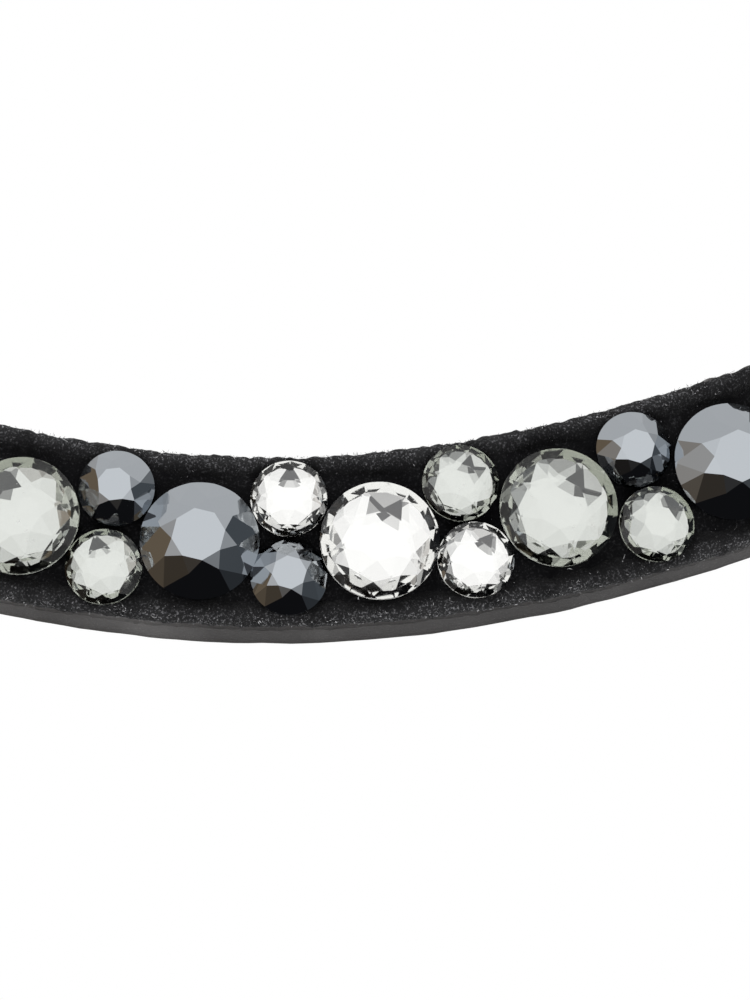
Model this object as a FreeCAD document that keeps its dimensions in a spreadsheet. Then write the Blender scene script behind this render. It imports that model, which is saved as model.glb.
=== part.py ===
"""A snaffle bridle as it hangs: headstall, crystal browband, cavesson noseband, throatlash and bit.

Millimetres. +Z is up, -Y is the way the horse faces and +X is the horse's left (near) side.
The origin is the underside of the crown pad, in the middle of the poll.
"""
import FreeCAD
import Part
import math
import os

V = FreeCAD.Vector

SIZES = {
    # the inner line of the headstall, from the poll down to the bit
    "poll_radius": 56.0,
    "poll_turn": 80.0,
    "flare_run": 130.0,
    "cheek_radius": 300.0,
    "cheek_turn": 16.0,
    "lower_run": 175.0,
    # leather, outward from that line
    "pad_thick": 6.0,
    "strap_thick": 3.0,
    "under_level": 6.1,
    "upper_level": 9.4,
    "fold_level": 6.2,
    "fold_radius": 3.0,
    # lanes and widths across the head, front to back
    "cheek_lane": -10.0,
    "cheek_width": 16.0,
    "throat_lane": 13.0,
    "throat_width": 12.0,
    "noseband_lane": -12.0,
    "noseband_hanger_width": 12.0,
    "crown_lane": 0.5,
    "crown_width": 38.0,
    "pad_width": 46.0,
    # places along the headstall, measured from the poll
    "pad_end": 100.0,
    "split_place": 112.0,
    "cheek_bar_place": 205.0,
    "throat_bar_place": 188.0,
    "tail_length": 44.0,
    # how far each strap folds back on itself
    "cheek_fold": 42.0,
    "throat_fold": 34.0,
    "hanger_fold": 26.0,
    "ring_fold": 46.0,
    "ring_fold_throat": 17.0,
    "ring_loop": 6.6,
    "ring_bore": 4.0,
    # browband
    "browband_width": 16.4,
    "browband_half_width": 84.6,
    "brow_radius": 150.0,
    "brow_turn": 22.0,
    "brow_side": 88.0,
    "brow_side_end": 14.0,
    "brow_dip": 31.0,
    "brow_dip_half": 125.0,
    "brow_tilt": 12.0,
    "brow_level": -115.0,
    "lining_thick": 3.2,
    "face_thick": 1.6,
    "rim_height": 1.1,
    "rim_width": 0.9,
    "inlay_thick": 0.5,
    "loop_wall": 2.2,
    "loop_inside": 71.0,
    "loop_front": -32.6,
    "loop_back": 20.6,
    # crystals
    "large_stone": 11.0,
    "small_stone": 7.0,
    "large_stone_height": 4.2,
    "small_stone_height": 2.9,
    "stone_girdle": 0.12,
    "stone_waist_level": 0.62,
    "stone_seat": 0.12,
    "stone_level": 6.6,
    "stone_pitch": 16.9,
    "stone_phase": 10.96,
    "pair_spread": 7.42,
    # noseband
    "nose_radius": 65.5,
    "nose_side": 118.0,
    "nose_front": -133.5,
    "nose_level": -345.0,
    "nose_height": 30.0,
    "nose_pad_thick": 5.0,
    "nose_leather_thick": 3.5,
    "nose_half_length": 140.0,
    "jaw_bar_place": 129.0,
    "jaw_width": 16.0,
    "hanger_slope": 0.162,
    "hanger_bar_place": 314.0,
    "hanger_bend_start": 262.0,
    "hanger_bend_run": 86.0,
    "hanger_end": 396.0,
    "hanger_gap": 0.4,
    # throatlash
    "throat_radius": 88.0,
    # buckles
    "wire": 2.8,
    "frame_span": 22.0,
    "tongue_radius": 1.1,
    "keeper_length": 8.0,
    "keeper_wall": 1.6,
    "keeper_distance": 13.0,
    "runner_distance": 29.0,
    "stud_head_radius": 3.6,
    "stud_neck_radius": 1.6,
    "stud_distance": 28.0,
    # bit
    "ring_radius": 29.5,
    "ring_wire": 3.0,
    "cannon_length": 57.0,
    "lozenge_half": 12.2,
    "lozenge_length": 26.4,
    "lozenge_depth": 14.0,
    "lozenge_thick": 4.0,
    "eye_radius": 4.6,
    "eye_wire": 1.6,
    "cannon_bore": 4.5,
}

# the first and last of the large stones, counted from the one left of the middle
FIRST_STONE = -10
LAST_STONE = 9
# the cannon's outline from its butt: distance along and radius
CANNON_PROFILE = ((-7.5, 0.0), (-7.5, 6.6), (-5.0, 8.6), (5.0, 8.8), (16.0, 7.6), (44.0, 5.0))
CANNON_TIP_RADIUS = 2.6

doc = FreeCAD.newDocument("SnaffleBridle")
made = []


def fill_sheet():
    """The spreadsheet that holds the driving dimensions, one alias to a row."""
    cells = doc.addObject("Spreadsheet::Sheet", "Sizes")
    for row, (alias, number) in enumerate(SIZES.items(), start=1):
        cells.set(f"A{row}", alias)
        cells.set(f"B{row}", str(number))
        cells.setAlias(f"B{row}", alias)
    doc.recompute()
    return cells


sheet = fill_sheet()


def size(alias):
    """One driving dimension, read from the sheet."""
    return float(sheet.get(alias))


def direction(degrees):
    """The unit vector at an angle in a flat drawing."""
    return V(math.cos(math.radians(degrees)), math.sin(math.radians(degrees)), 0)


class Route:
    """A flat line of tangent runs and bends that a strap follows.

    side is 1 where the outer face lies to the left of the way along, and -1 to the right.
    Every bend turns away from the outer face. Levels are measured outward from the line.
    """

    def __init__(self, start, heading, side):
        self.start = start
        self.heading = heading
        self.side = side
        self.pieces = []
        self.length = 0.0

    def run(self, length):
        self._add(length, 0.0)
        return self

    def bend(self, radius, turn):
        self._add(radius * math.radians(turn), radius)
        return self

    def _add(self, length, radius):
        self.pieces.append((self.length, length, radius, self.start, self.heading))
        self.start, self.heading = self._within(self.pieces[-1], length, 0.0)
        self.length += length

    def _normal(self, heading):
        return direction(heading + 90.0 * self.side)

    def _within(self, piece, along, level):
        _, _, radius, start, heading = piece
        if not radius:
            return start + direction(heading) * along + self._normal(heading) * level, heading
        centre = start - self._normal(heading) * radius
        turned = heading - self.side * math.degrees(along / radius)
        return centre + self._normal(turned) * (radius + level), turned

    def at(self, place, level=0.0):
        """The point at a place along the route and at a level, with the heading there."""
        for piece in self.pieces:
            if place <= piece[0] + piece[1] + 1e-9:
                break
        return self._within(piece, place - piece[0], level)

    def curves(self, first, last, level):
        """Lines and arcs along the route at a level, from first to last, in order."""
        drawn = []
        for piece in self.pieces:
            low = max(first, piece[0])
            high = min(last, piece[0] + piece[1])
            if high - low < 1e-6:
                continue
            begin, heading_in = self._within(piece, low - piece[0], level)
            end, heading_out = self._within(piece, high - piece[0], level)
            if not piece[2]:
                drawn.append(Part.LineSegment(begin, end))
                continue
            centre = piece[3] - self._normal(piece[4]) * piece[2]
            circle = Part.Circle(centre, V(0, 0, 1), piece[2] + level)
            angles = sorted(math.radians(h + 90.0 * self.side) for h in (heading_in, heading_out))
            drawn.append(Part.ArcOfCircle(circle, *angles))
        return drawn


def side_route():
    """The headstall's inner line in the X-Z plane, from the poll down the left side."""
    route = Route(V(0, 0, 0), 0.0, 1)
    route.bend(size("poll_radius"), size("poll_turn"))
    route.run(size("flare_run"))
    route.bend(size("cheek_radius"), size("cheek_turn"))
    return route.run(size("lower_run"))


def nose_route():
    """The noseband's inner line in the X-Y plane, from the nose round the left side to the jaw."""
    route = Route(V(0, size("nose_front"), 0), 0.0, -1)
    route.bend(size("nose_radius"), 90.0)
    route.run(size("nose_side"))
    return route.bend(size("nose_radius"), 90.0)


def jaw_route():
    """The same line from the jaw round the left side to the nose."""
    back = size("nose_front") + 2 * size("nose_radius") + size("nose_side")
    route = Route(V(0, back, 0), 0.0, 1)
    route.bend(size("nose_radius"), 90.0)
    route.run(size("nose_side"))
    return route.bend(size("nose_radius"), 90.0)


def brow_corner():
    """The radius of the browband's bend at each temple."""
    rise = math.sin(math.radians(size("brow_turn")))
    return (size("browband_half_width") - size("brow_radius") * rise) / (1 - rise)


def brow_route():
    """The back face of the browband in the X-Y plane, from the forehead round the left side."""
    turn = size("brow_turn")
    radius = size("brow_radius")
    corner = brow_corner()
    depth = radius * (1 - math.cos(math.radians(turn))) + corner * math.cos(math.radians(turn))
    front = size("brow_side_end") - size("brow_side") - depth
    route = Route(V(0, front, 0), 0.0, -1)
    route.bend(radius, turn)
    route.bend(corner, 90.0 - turn)
    return route.run(size("brow_side"))


def throat_route():
    """The throatlash's inner line in the X-Z plane, from under the throat up the left side."""
    radius = size("throat_radius")
    lean = 180.0 - 90.0 - size("poll_turn")
    corner = side.at(side.pieces[1][0])[0]
    reach = (radius * math.cos(math.radians(lean)) - corner.x) / math.sin(math.radians(lean))
    bottom = corner.y - reach * math.cos(math.radians(lean))
    bottom -= radius * (1 + math.sin(math.radians(lean)))
    route = Route(V(0, bottom, 0), 0.0, -1)
    route.bend(radius, 90.0 + lean)
    return route.run(reach)


def flare_route():
    """The headstall's inner line where it doesn't bend in again: the throatlash keeps to it."""
    route = Route(V(0, 0, 0), 0.0, 1)
    route.bend(size("poll_radius"), size("poll_turn"))
    return route.run(2 * size("flare_run"))


side = side_route()
flare = flare_route()
nose = nose_route()
jaw = jaw_route()
brow = brow_route()
throat = throat_route()


def keep(piece, label):
    """Gives a finished piece its name and puts it on the list of what is written out."""
    piece.Label = label
    made.append(piece)
    return piece


def origin_plane(body, role):
    return next(f for f in body.Origin.OriginFeatures if f.Role == role)


def new_sketch(body, name, role, curves):
    """A sketch on one of its body's own origin planes."""
    sketch = body.newObject("Sketcher::SketchObject", name)
    sketch.AttachmentSupport = [(origin_plane(body, role), "")]
    sketch.MapMode = "FlatFace"
    for curve in curves:
        sketch.addGeometry(curve, False)
    return sketch


def padded_body(name, role, curves, length):
    """A body padded evenly to both sides of a plane; length is an expression on the sheet."""
    body = doc.addObject("PartDesign::Body", name)
    sketch = new_sketch(body, name + "_outline", role, curves)
    pad = body.newObject("PartDesign::Pad", name + "_pad")
    pad.Profile = sketch
    pad.SideType = "Symmetric"
    pad.setExpression("Length", length)
    return body


def mirrored_curves(curves):
    """The same lines and arcs on the other side of the drawing's vertical axis."""
    flipped = []
    for curve in curves:
        if isinstance(curve, Part.LineSegment):
            ends = [V(-p.x, p.y, 0) for p in (curve.StartPoint, curve.EndPoint)]
            flipped.append(Part.LineSegment(*ends))
            continue
        centre = V(-curve.Center.x, curve.Center.y, 0)
        circle = Part.Circle(centre, V(0, 0, 1), curve.Radius)
        first = math.pi - curve.LastParameter
        last = math.pi - curve.FirstParameter
        flipped.append(Part.ArcOfCircle(circle, first, last))
    return flipped


def joined(first, second):
    return Part.LineSegment(first, second)


def band_outline(route, first, last, inner, outer, both_sides=False):
    """A strap seen edge on, between two levels, on one side or from one side to the other."""
    low = route.curves(first, last, inner)
    high = route.curves(first, last, outer)
    end = joined(route.at(last, inner)[0], route.at(last, outer)[0])
    if not both_sides:
        start = joined(route.at(first, inner)[0], route.at(first, outer)[0])
        return [start] + low + [end] + high
    one_side = low + [end] + high
    return one_side + mirrored_curves(one_side)


def rotation_at(heading, side_sign, plane):
    """The turn from a buckle's own axes (X along the strap, Z outward) to the bridle's."""
    along = direction(heading)
    outward = direction(heading + 90.0 * side_sign)
    if plane == "XZ":
        along = V(along.x, 0, along.y)
        outward = V(outward.x, 0, outward.y)
    return FreeCAD.Rotation(along, outward.cross(along), outward, "XYZ")


def side_place(place, lane):
    """A buckle's place on the left side of the headstall, at the inner line."""
    point, heading = side.at(place)
    return FreeCAD.Placement(V(point.x, lane, point.y), rotation_at(heading, 1, "XZ"))


def flare_place(place):
    """A throat buckle's place on the left side, at the inner line."""
    point, heading = flare.at(place)
    lane = size("throat_lane")
    return FreeCAD.Placement(V(point.x, lane, point.y), rotation_at(heading, 1, "XZ"))


def cheek_place(place):
    """A cheek buckle's place on the left side, at the inner line."""
    return side_place(place, size("cheek_lane"))


def jaw_place(place):
    """A buckle's place on the left side of the noseband, at the inner line."""
    point, heading = jaw.at(place)
    return FreeCAD.Placement(V(point.x, point.y, size("nose_level")), rotation_at(heading, 1, "XY"))


def eased(amount):
    """A smooth rise from 0 to 1, for an amount that may lie outside them."""
    amount = min(1.0, max(0.0, amount))
    return amount * amount * (3 - 2 * amount)


def hanger_line(place, level):
    """A point of the noseband's hanger: it runs down inside the cheek strap and forward of it."""
    point = side.at(place, level)[0]
    lane = size("noseband_lane") - size("hanger_slope") * max(0.0, place - side.pieces[1][0])
    nose_face = size("nose_radius") + size("nose_pad_thick") + size("nose_leather_thick")
    wanted = nose_face + size("hanger_gap") + level - size("under_level")
    share = eased((place - size("hanger_bend_start")) / size("hanger_bend_run"))
    return V(point.x + (wanted - point.x) * share, lane, point.y)


def hanger_place(place):
    """A buckle's place on the noseband's hanger."""
    level = size("under_level")
    here = hanger_line(place, level)
    along = (hanger_line(place + 1.0, level) - hanger_line(place - 1.0, level)).normalize()
    outward = V(-along.z, 0, along.x).normalize()
    across = outward.cross(along).normalize()
    return FreeCAD.Placement(
        here - outward * level, FreeCAD.Rotation(along, across, outward, "XYZ")
    )


def box(name, low, high, placement):
    """A plain box between two corners in the axes of a placement."""
    solid = doc.addObject("Part::Box", name)
    solid.Length = high.x - low.x
    solid.Width = high.y - low.y
    solid.Height = high.z - low.z
    solid.Placement = placement.multiply(FreeCAD.Placement(low, FreeCAD.Rotation()))
    return solid


def rod(name, radius, length, start, axis, placement):
    """A round rod from a point along an axis, in the axes of a placement."""
    solid = doc.addObject("Part::Cylinder", name)
    solid.Radius = radius
    solid.Height = length
    turn = FreeCAD.Rotation(V(0, 0, 1), axis)
    solid.Placement = placement.multiply(FreeCAD.Placement(start, turn))
    return solid


def cut(name, base, tools):
    """The base with each tool taken away in turn."""
    for number, tool in enumerate(tools, start=1):
        result = doc.addObject("Part::Cut", f"{name}_{number}")
        result.Base = base
        result.Tool = tool
        base = result
    return base


def fused(name, parts):
    result = doc.addObject("Part::MultiFuse", name)
    result.Shapes = parts
    return result


def other_side(piece, label):
    """The right-hand twin of a left-hand piece."""
    twin = doc.addObject("Part::Mirroring", label)
    twin.Source = piece
    twin.Base = V(0, 0, 0)
    twin.Normal = V(1, 0, 0)
    return keep(twin, label)


def tongue_slot(name, placement, bar_level):
    """The slot that a buckle's tongue passes and swings through, in the strap above the bar."""
    return box(name, V(-16.5, -1.6, bar_level + 2.2), V(3.4, 1.6, bar_level + 9.0), placement)


def fold_cuts(name, placement, bar_level):
    """The bore for the buckle's bar, and the slot for the tongue, in a folded strap end."""
    half = 15.0
    bore = rod(name + "_bore", 1.7, 2 * half, V(0, -half, bar_level), V(0, 1, 0), placement)
    slot = box(name + "_slot", V(-3.6, -1.9, bar_level - 3.4), V(3.6, 1.9, bar_level + 6.0), placement)
    return [bore, slot]


def folded_outline(route, bar, last, bar_level, inner, fold_length):
    """A strap folded round a buckle's bar at its first end, seen edge on, without its far end."""
    radius = size("fold_radius")
    top = bar_level + radius
    back = bar_level - radius
    centre, heading = route.at(bar, bar_level)
    circle = Part.Circle(centre, V(0, 0, 1), radius)
    angles = (math.radians(heading + 90.0), math.radians(heading + 270.0))
    fold_end = bar + fold_length
    outline = [Part.ArcOfCircle(circle, *angles)]
    outline += route.curves(bar, fold_end, back)
    outline.append(joined(route.at(fold_end, back)[0], route.at(fold_end, inner)[0]))
    outline += route.curves(fold_end, last, inner)
    return outline + route.curves(bar, last, top)


def buckle(label, placement, bar_level, top_level, strap_width, gap):
    """The frame and tongue of an end-bar buckle. Returns both, with the tongue's own radius."""
    wire = size("wire")
    span = size("frame_span")
    rise = top_level - bar_level
    length = math.hypot(span, rise)
    tilt = math.degrees(math.atan2(rise, span))
    half = strap_width / 2 + gap
    outer = half + wire
    low = -(length + wire / 2)
    high = wire / 2
    corners = [V(low, -outer, 0), V(high, -outer, 0), V(high, outer, 0), V(low, outer, 0)]
    inner = [
        V(low + wire, -half, 0),
        V(high - wire, -half, 0),
        V(high - wire, half, 0),
        V(low + wire, half, 0),
    ]
    outline = []
    for ring in (corners, inner):
        outline += [joined(ring[n], ring[(n + 1) % 4]) for n in range(4)]
    body = padded_body(label + "_body", "XY_Plane", outline, "Sizes.wire")
    square = body.Tip
    rounding = body.newObject("PartDesign::Fillet", label + "_rounding")
    rounding.Base = (square, [f"Edge{n}" for n in range(1, 25)])
    rounding.Radius = wire * 0.4
    at_bar = FreeCAD.Placement(V(0, 0, bar_level), FreeCAD.Rotation(V(0, 1, 0), tilt))
    body.Placement = placement.multiply(at_bar)
    keep(body, label)

    name = label.replace("buckle", "tongue")
    radius = size("tongue_radius")
    lift = rise + wire / 2 + radius + 0.4
    tongue_tilt = math.degrees(math.atan2(lift, span))
    reach = math.hypot(span, lift) + wire / 2 + 1.6
    at_tongue = placement.multiply(
        FreeCAD.Placement(V(0, 0, bar_level), FreeCAD.Rotation(V(0, 1, 0), tongue_tilt))
    )
    eye = rod(name + "_eye", 2.8, 3.0, V(0, -1.5, 0), V(0, 1, 0), at_tongue)
    pin = rod(name + "_pin", radius, reach - 2.0, V(-2.0, 0, 0), V(-1, 0, 0), at_tongue)
    bore = rod(name + "_bore", 1.7, 8.0, V(0, -4.0, 0), V(0, 1, 0), at_tongue)
    return body, keep(cut(name + "_bored", fused(name + "_blank", [eye, pin]), [bore]), name)


def keeper(label, placement, inner, outer, width, ease):
    """A flat leather loop round a strap; inner and outer are the levels that it holds."""
    wall = size("keeper_wall")
    half = width / 2 + ease
    start = -size("keeper_length") / 2
    end = size("keeper_length") / 2
    shell = box(
        label + "_outer",
        V(start, -half - wall, inner - ease - wall),
        V(end, half + wall, outer + ease + wall),
        placement,
    )
    hollow = box(
        label + "_inner",
        V(start - 1, -half, inner - ease),
        V(end + 1, half, outer + ease),
        placement,
    )
    shell.setExpression("Length", "Sizes.keeper_length")
    return keep(cut(label + "_loop", shell, [hollow]), label)


def crown():
    """The crown leather, split at each side into a cheek tail and a throat tail."""
    low = size("upper_level")
    high = low + size("strap_thick")
    split = size("split_place")
    bar = size("cheek_bar_place")
    throat_bar = size("throat_bar_place")
    outline = band_outline(side, 0, split, low, high, True)
    over = padded_body("crown_over", "XZ_Plane", outline, "Sizes.crown_width")
    over.setExpression("Placement.Base.y", "Sizes.crown_lane")
    outline = band_outline(side, split, bar + size("tail_length"), low, high)
    cheek_tail = padded_body("cheek_tail", "XZ_Plane", outline, "Sizes.cheek_width")
    cheek_tail.setExpression("Placement.Base.y", "Sizes.cheek_lane")
    outline = band_outline(flare, split, throat_bar + size("tail_length") - 6.0, low, high)
    throat_tail = padded_body("throat_tail", "XZ_Plane", outline, "Sizes.throat_width")
    throat_tail.setExpression("Placement.Base.y", "Sizes.throat_lane")
    slots = [
        tongue_slot("cheek_tail_slot", cheek_place(bar), size("fold_level")),
        tongue_slot("throat_tail_slot", flare_place(throat_bar), size("fold_level")),
    ]
    tails = cut("crown_tails", fused("crown_tails_blank", [cheek_tail, throat_tail]), slots)
    twins = doc.addObject("Part::Mirroring", "crown_tails_right")
    twins.Source = tails
    twins.Normal = V(1, 0, 0)
    keep(fused("crown_whole", [over, tails, twins]), "crown_leather")

    outline = band_outline(side, 0, size("pad_end"), 0.0, size("pad_thick"), True)
    pad = padded_body("crown_pad_body", "XZ_Plane", outline, "Sizes.pad_width")
    keep(pad, "crown_pad")


def cheekpiece():
    """The cheekpiece: folded round its buckle above and round the bit ring below."""
    bar = size("cheek_bar_place")
    last = side.length
    level = size("fold_level")
    inner = size("under_level")
    outer = level + size("fold_radius")
    outline = folded_outline(side, bar, last, level, inner, size("cheek_fold"))
    outline = outline[: -len(side.curves(bar, last, outer))]
    lower = outline.pop()
    ring_loop = size("ring_loop")
    fold_inner = outer - 2 * size("strap_thick")
    fold_start = last - size("ring_fold")
    throat_of_fold = last - size("ring_fold_throat")
    centre, heading = side.at(last, outer - ring_loop)
    sharp = side.at(throat_of_fold, fold_inner)[0]
    away = centre - sharp
    slant = math.degrees(math.atan2(away.y, away.x))
    slack = math.degrees(math.acos(ring_loop / away.Length))
    tangent_angle = slant + 180.0 + slack
    touch = centre + direction(tangent_angle) * ring_loop
    run_start = lower.StartPoint if lower.StartPoint.y > lower.EndPoint.y else lower.EndPoint
    outline.append(joined(run_start, side.at(fold_start, inner)[0]))
    outline.append(joined(side.at(fold_start, inner)[0], side.at(fold_start, fold_inner)[0]))
    outline.append(joined(side.at(fold_start, fold_inner)[0], sharp))
    outline.append(joined(sharp, touch))
    circle = Part.Circle(centre, V(0, 0, 1), ring_loop)
    first = math.radians(tangent_angle)
    end = math.radians(heading + 90.0)
    while end < first:
        end += 2 * math.pi
    outline.append(Part.ArcOfCircle(circle, first, end))
    outline += side.curves(bar, last, outer)
    body = padded_body("cheek_blank", "XZ_Plane", outline, "Sizes.cheek_width")
    body.setExpression("Placement.Base.y", "Sizes.cheek_lane")
    tools = fold_cuts("cheek_fold", cheek_place(bar), level)
    at_ring = FreeCAD.Placement(V(centre.x, size("cheek_lane"), centre.y), FreeCAD.Rotation())
    tools.append(rod("cheek_ring_bore", size("ring_bore"), 40.0, V(0, -20, 0), V(0, 1, 0), at_ring))
    for sign in (-1, 1):
        edge = 6.5 * sign
        far = 12.0 * sign
        low = V(-12, min(edge, far), -14)
        high = V(12, max(edge, far), 8.5)
        tools.append(box(f"cheek_waist_{sign + 1}", low, high, at_ring))
    piece = keep(cut("cheek_cut", body, tools), "cheekpiece_left")
    other_side(piece, "cheekpiece_right")
    return centre


def hook_stud():
    """The stud on the inside of the cheekpiece that its folded end hooks over."""
    placement = cheek_place(side.length - size("stud_distance"))
    inner = size("fold_level") + size("fold_radius") - 2 * size("strap_thick")
    neck = rod("stud_neck", size("stud_neck_radius"), 1.4, V(0, 0, inner), V(0, 0, -1), placement)
    head = doc.addObject("Part::Cone", "stud_head")
    head.Radius1 = size("stud_head_radius")
    head.Radius2 = 2.4
    head.Height = 1.5
    turn = FreeCAD.Rotation(V(0, 1, 0), 180)
    head.Placement = placement.multiply(FreeCAD.Placement(V(0, 0, inner - 1.4), turn))
    stud = keep(fused("stud", [neck, head]), "hook_stud_left")
    other_side(stud, "hook_stud_right")


def fastening(prefix, place_at, bar, bar_level, outer, width, sides, gap=0.6, ease=0.35, loose=0.25):
    """A buckle with its tongue, its fixed keeper and its sliding runner, on one or both sides.

    gap is the frame's room beside the strap, ease its room above it, and loose the keepers' room.
    """
    top_level = outer + size("wire") / 2 + ease
    left = sides[0]
    low = bar_level - size("fold_radius")
    pieces = [*buckle(f"{prefix}_buckle_{left}", place_at(bar), bar_level, top_level, width, gap)]
    for word in ("keeper", "runner"):
        distance = size(f"{word}_distance")
        here = place_at(bar + distance)
        pieces.append(keeper(f"{prefix}_{word}_{left}", here, low, outer, width, loose))
    if len(sides) > 1:
        for piece in pieces:
            other_side(piece, piece.Label.replace(f"_{left}", f"_{sides[1]}"))


def throatlash():
    """The throatlash: one strap under the throat, folded round a buckle at each side."""
    bar = throat.length - (size("throat_bar_place") - side.pieces[1][0])
    level = size("fold_level")
    radius = size("fold_radius")
    inner = size("under_level")
    top = level + radius
    back = level - radius
    fold = bar - size("throat_fold")
    centre, heading = throat.at(bar, level)
    circle = Part.Circle(centre, V(0, 0, 1), radius)
    cap = Part.ArcOfCircle(circle, math.radians(heading - 90.0), math.radians(heading + 90.0))
    one = throat.curves(0, bar, top) + [cap] + throat.curves(fold, bar, back)
    one.append(joined(throat.at(fold, back)[0], throat.at(fold, inner)[0]))
    one += throat.curves(0, fold, inner)
    body = padded_body("throat_blank", "XZ_Plane", one + mirrored_curves(one), "Sizes.throat_width")
    body.setExpression("Placement.Base.y", "Sizes.throat_lane")
    tools = fold_cuts("throat_fold", flare_place(size("throat_bar_place")), level)
    twins = []
    for tool in tools:
        twin = doc.addObject("Part::Mirroring", tool.Name + "_twin")
        twin.Source = tool
        twin.Normal = V(1, 0, 0)
        twins.append(twin)
    keep(cut("throat_cut", body, tools + twins), "throatlash")


def ribbon(label, sections):
    """A lofted strap through flat sections, each a closed ring of corners."""
    rings = [Part.makePolygon(corners + corners[:1]) for corners in sections]
    feature = doc.addObject("Part::Feature", label)
    feature.Shape = Part.makeLoft(rings, True, False)
    return feature


def brow_frame(place):
    """The middle of the browband's back face at a place, with its along, up and outward ways."""
    def spot(s):
        point, _ = brow.at(min(abs(s), brow.length))
        half = size("brow_dip_half")
        dip = size("brow_dip") / 2 * (1 + math.cos(math.pi * min(abs(s), half) / half))
        return V(math.copysign(point.x, s), point.y, size("brow_level") - dip)

    here = spot(place)
    last = brow.length
    along = (spot(min(place + 0.5, last)) - spot(max(place - 0.5, -last))).normalize()
    heading = brow.at(min(abs(place), last))[1]
    flat = direction(heading - 90.0)
    outward = V(math.copysign(flat.x, place), flat.y, 0)
    up = outward.cross(along).normalize()
    outward = along.cross(up)
    half = size("brow_dip_half")
    share = 0.5 * (1 + math.cos(math.pi * min(abs(place), half) / half))
    tilt = math.radians(size("brow_tilt") * share)
    tilted_up = up * math.cos(tilt) - outward * math.sin(tilt)
    tilted_out = outward * math.cos(tilt) + up * math.sin(tilt)
    return here, along, tilted_up, tilted_out


def brow_sections(corners, reach):
    """The sections of a browband layer; corners are (up, out) pairs on its back face."""
    step = 10.0
    inner = math.ceil(reach / step) - 1
    places = [-reach] + [n * step for n in range(-inner, inner + 1)] + [reach]
    sections = []
    for place in places:
        here, _, up, out = brow_frame(place)
        sections.append([here + up * a + out * b for a, b in corners])
    return sections


def rectangle(half, low, high):
    return [(-half, low), (half, low), (half, high), (-half, high)]


def browband():
    """The browband: padded lining, channelled face, velvet inlay and a loop at each end."""
    half = size("browband_width") / 2
    lining = size("lining_thick")
    floor = lining + size("face_thick")
    rim = floor + size("rim_height")
    inside = half - size("rim_width")
    reach = brow.length - 0.2
    keep(ribbon("lining", brow_sections(rectangle(half, 0.0, lining), reach)), "browband_lining")
    channel = [
        (-half, lining),
        (half, lining),
        (half, rim),
        (inside, rim),
        (inside, floor),
        (-inside, floor),
        (-inside, rim),
        (-half, rim),
    ]
    keep(ribbon("face", brow_sections(channel, reach)), "browband_face")
    inlay = rectangle(inside - 0.2, floor + 0.04, floor + size("inlay_thick"))
    keep(ribbon("inlay", brow_sections(inlay, reach - 6.0)), "browband_inlay")

    wall = size("loop_wall")
    right = size("browband_half_width") - 0.1 - wall
    left = size("loop_inside")
    front = size("loop_front")
    back = size("loop_back")
    rings = []
    for grow in (wall, 0.0):
        ring = [
            V(left - grow, front - grow, 0),
            V(right + grow, front - grow, 0),
            V(right + grow, back + grow, 0),
            V(left - grow, back + grow, 0),
        ]
        rings += [joined(ring[n], ring[(n + 1) % 4]) for n in range(4)]
    loop = padded_body("loop_body", "XY_Plane", rings, "Sizes.browband_width")
    loop.setExpression("Placement.Base.z", "Sizes.brow_level")
    keep(loop, "browband_loop_left")
    other_side(loop, "browband_loop_right")


def cut_stone(diameter, table, waist, height):
    """A flat-backed round stone: a table, eight stars, eight kites and sixteen girdle facets."""
    radius = diameter / 2
    girdle = size("stone_girdle") * height

    def ring(count, share, level, offset):
        step = 360.0 / count
        spots = [direction((n + offset) * step) * radius * share for n in range(count)]
        return [V(p.x, p.y, level) for p in spots]

    base = ring(16, 0.99, 0.0, 0.0)
    edge = ring(16, 1.0, girdle, 0.0)
    middle = ring(8, waist, height * size("stone_waist_level"), 0.5)
    top = ring(8, table, height, 0.0)
    faces = [base, top]
    for n in range(16):
        after = (n + 1) % 16
        faces.append([base[n], base[after], edge[after]])
        faces.append([base[n], edge[after], edge[n]])
    for n in range(8):
        after = (n + 1) % 8
        low = 2 * n
        faces.append([top[n], top[after], middle[n]])
        faces.append([top[n], middle[n - 1], edge[low]])
        faces.append([top[n], edge[low], middle[n]])
        faces.append([middle[n], edge[low], edge[low + 1]])
        faces.append([middle[n], edge[low + 1], edge[(low + 2) % 16]])
    shell = Part.makeShell([Part.Face(Part.makePolygon(f + f[:1])) for f in faces])
    return Part.makeSolid(shell)


def stone_place(distance):
    """The place on the browband's line for a distance along the face, where the stones sit."""
    level = size("stone_level")
    left = abs(distance)
    place = 0.0
    runs = (
        (size("brow_radius"), math.radians(size("brow_turn"))),
        (brow_corner(), math.radians(90.0 - size("brow_turn"))),
    )
    for radius, turn in runs:
        step = min(left, (radius + level) * turn)
        left -= step
        place += step * radius / (radius + level)
    return math.copysign(place + left, distance)


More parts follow.
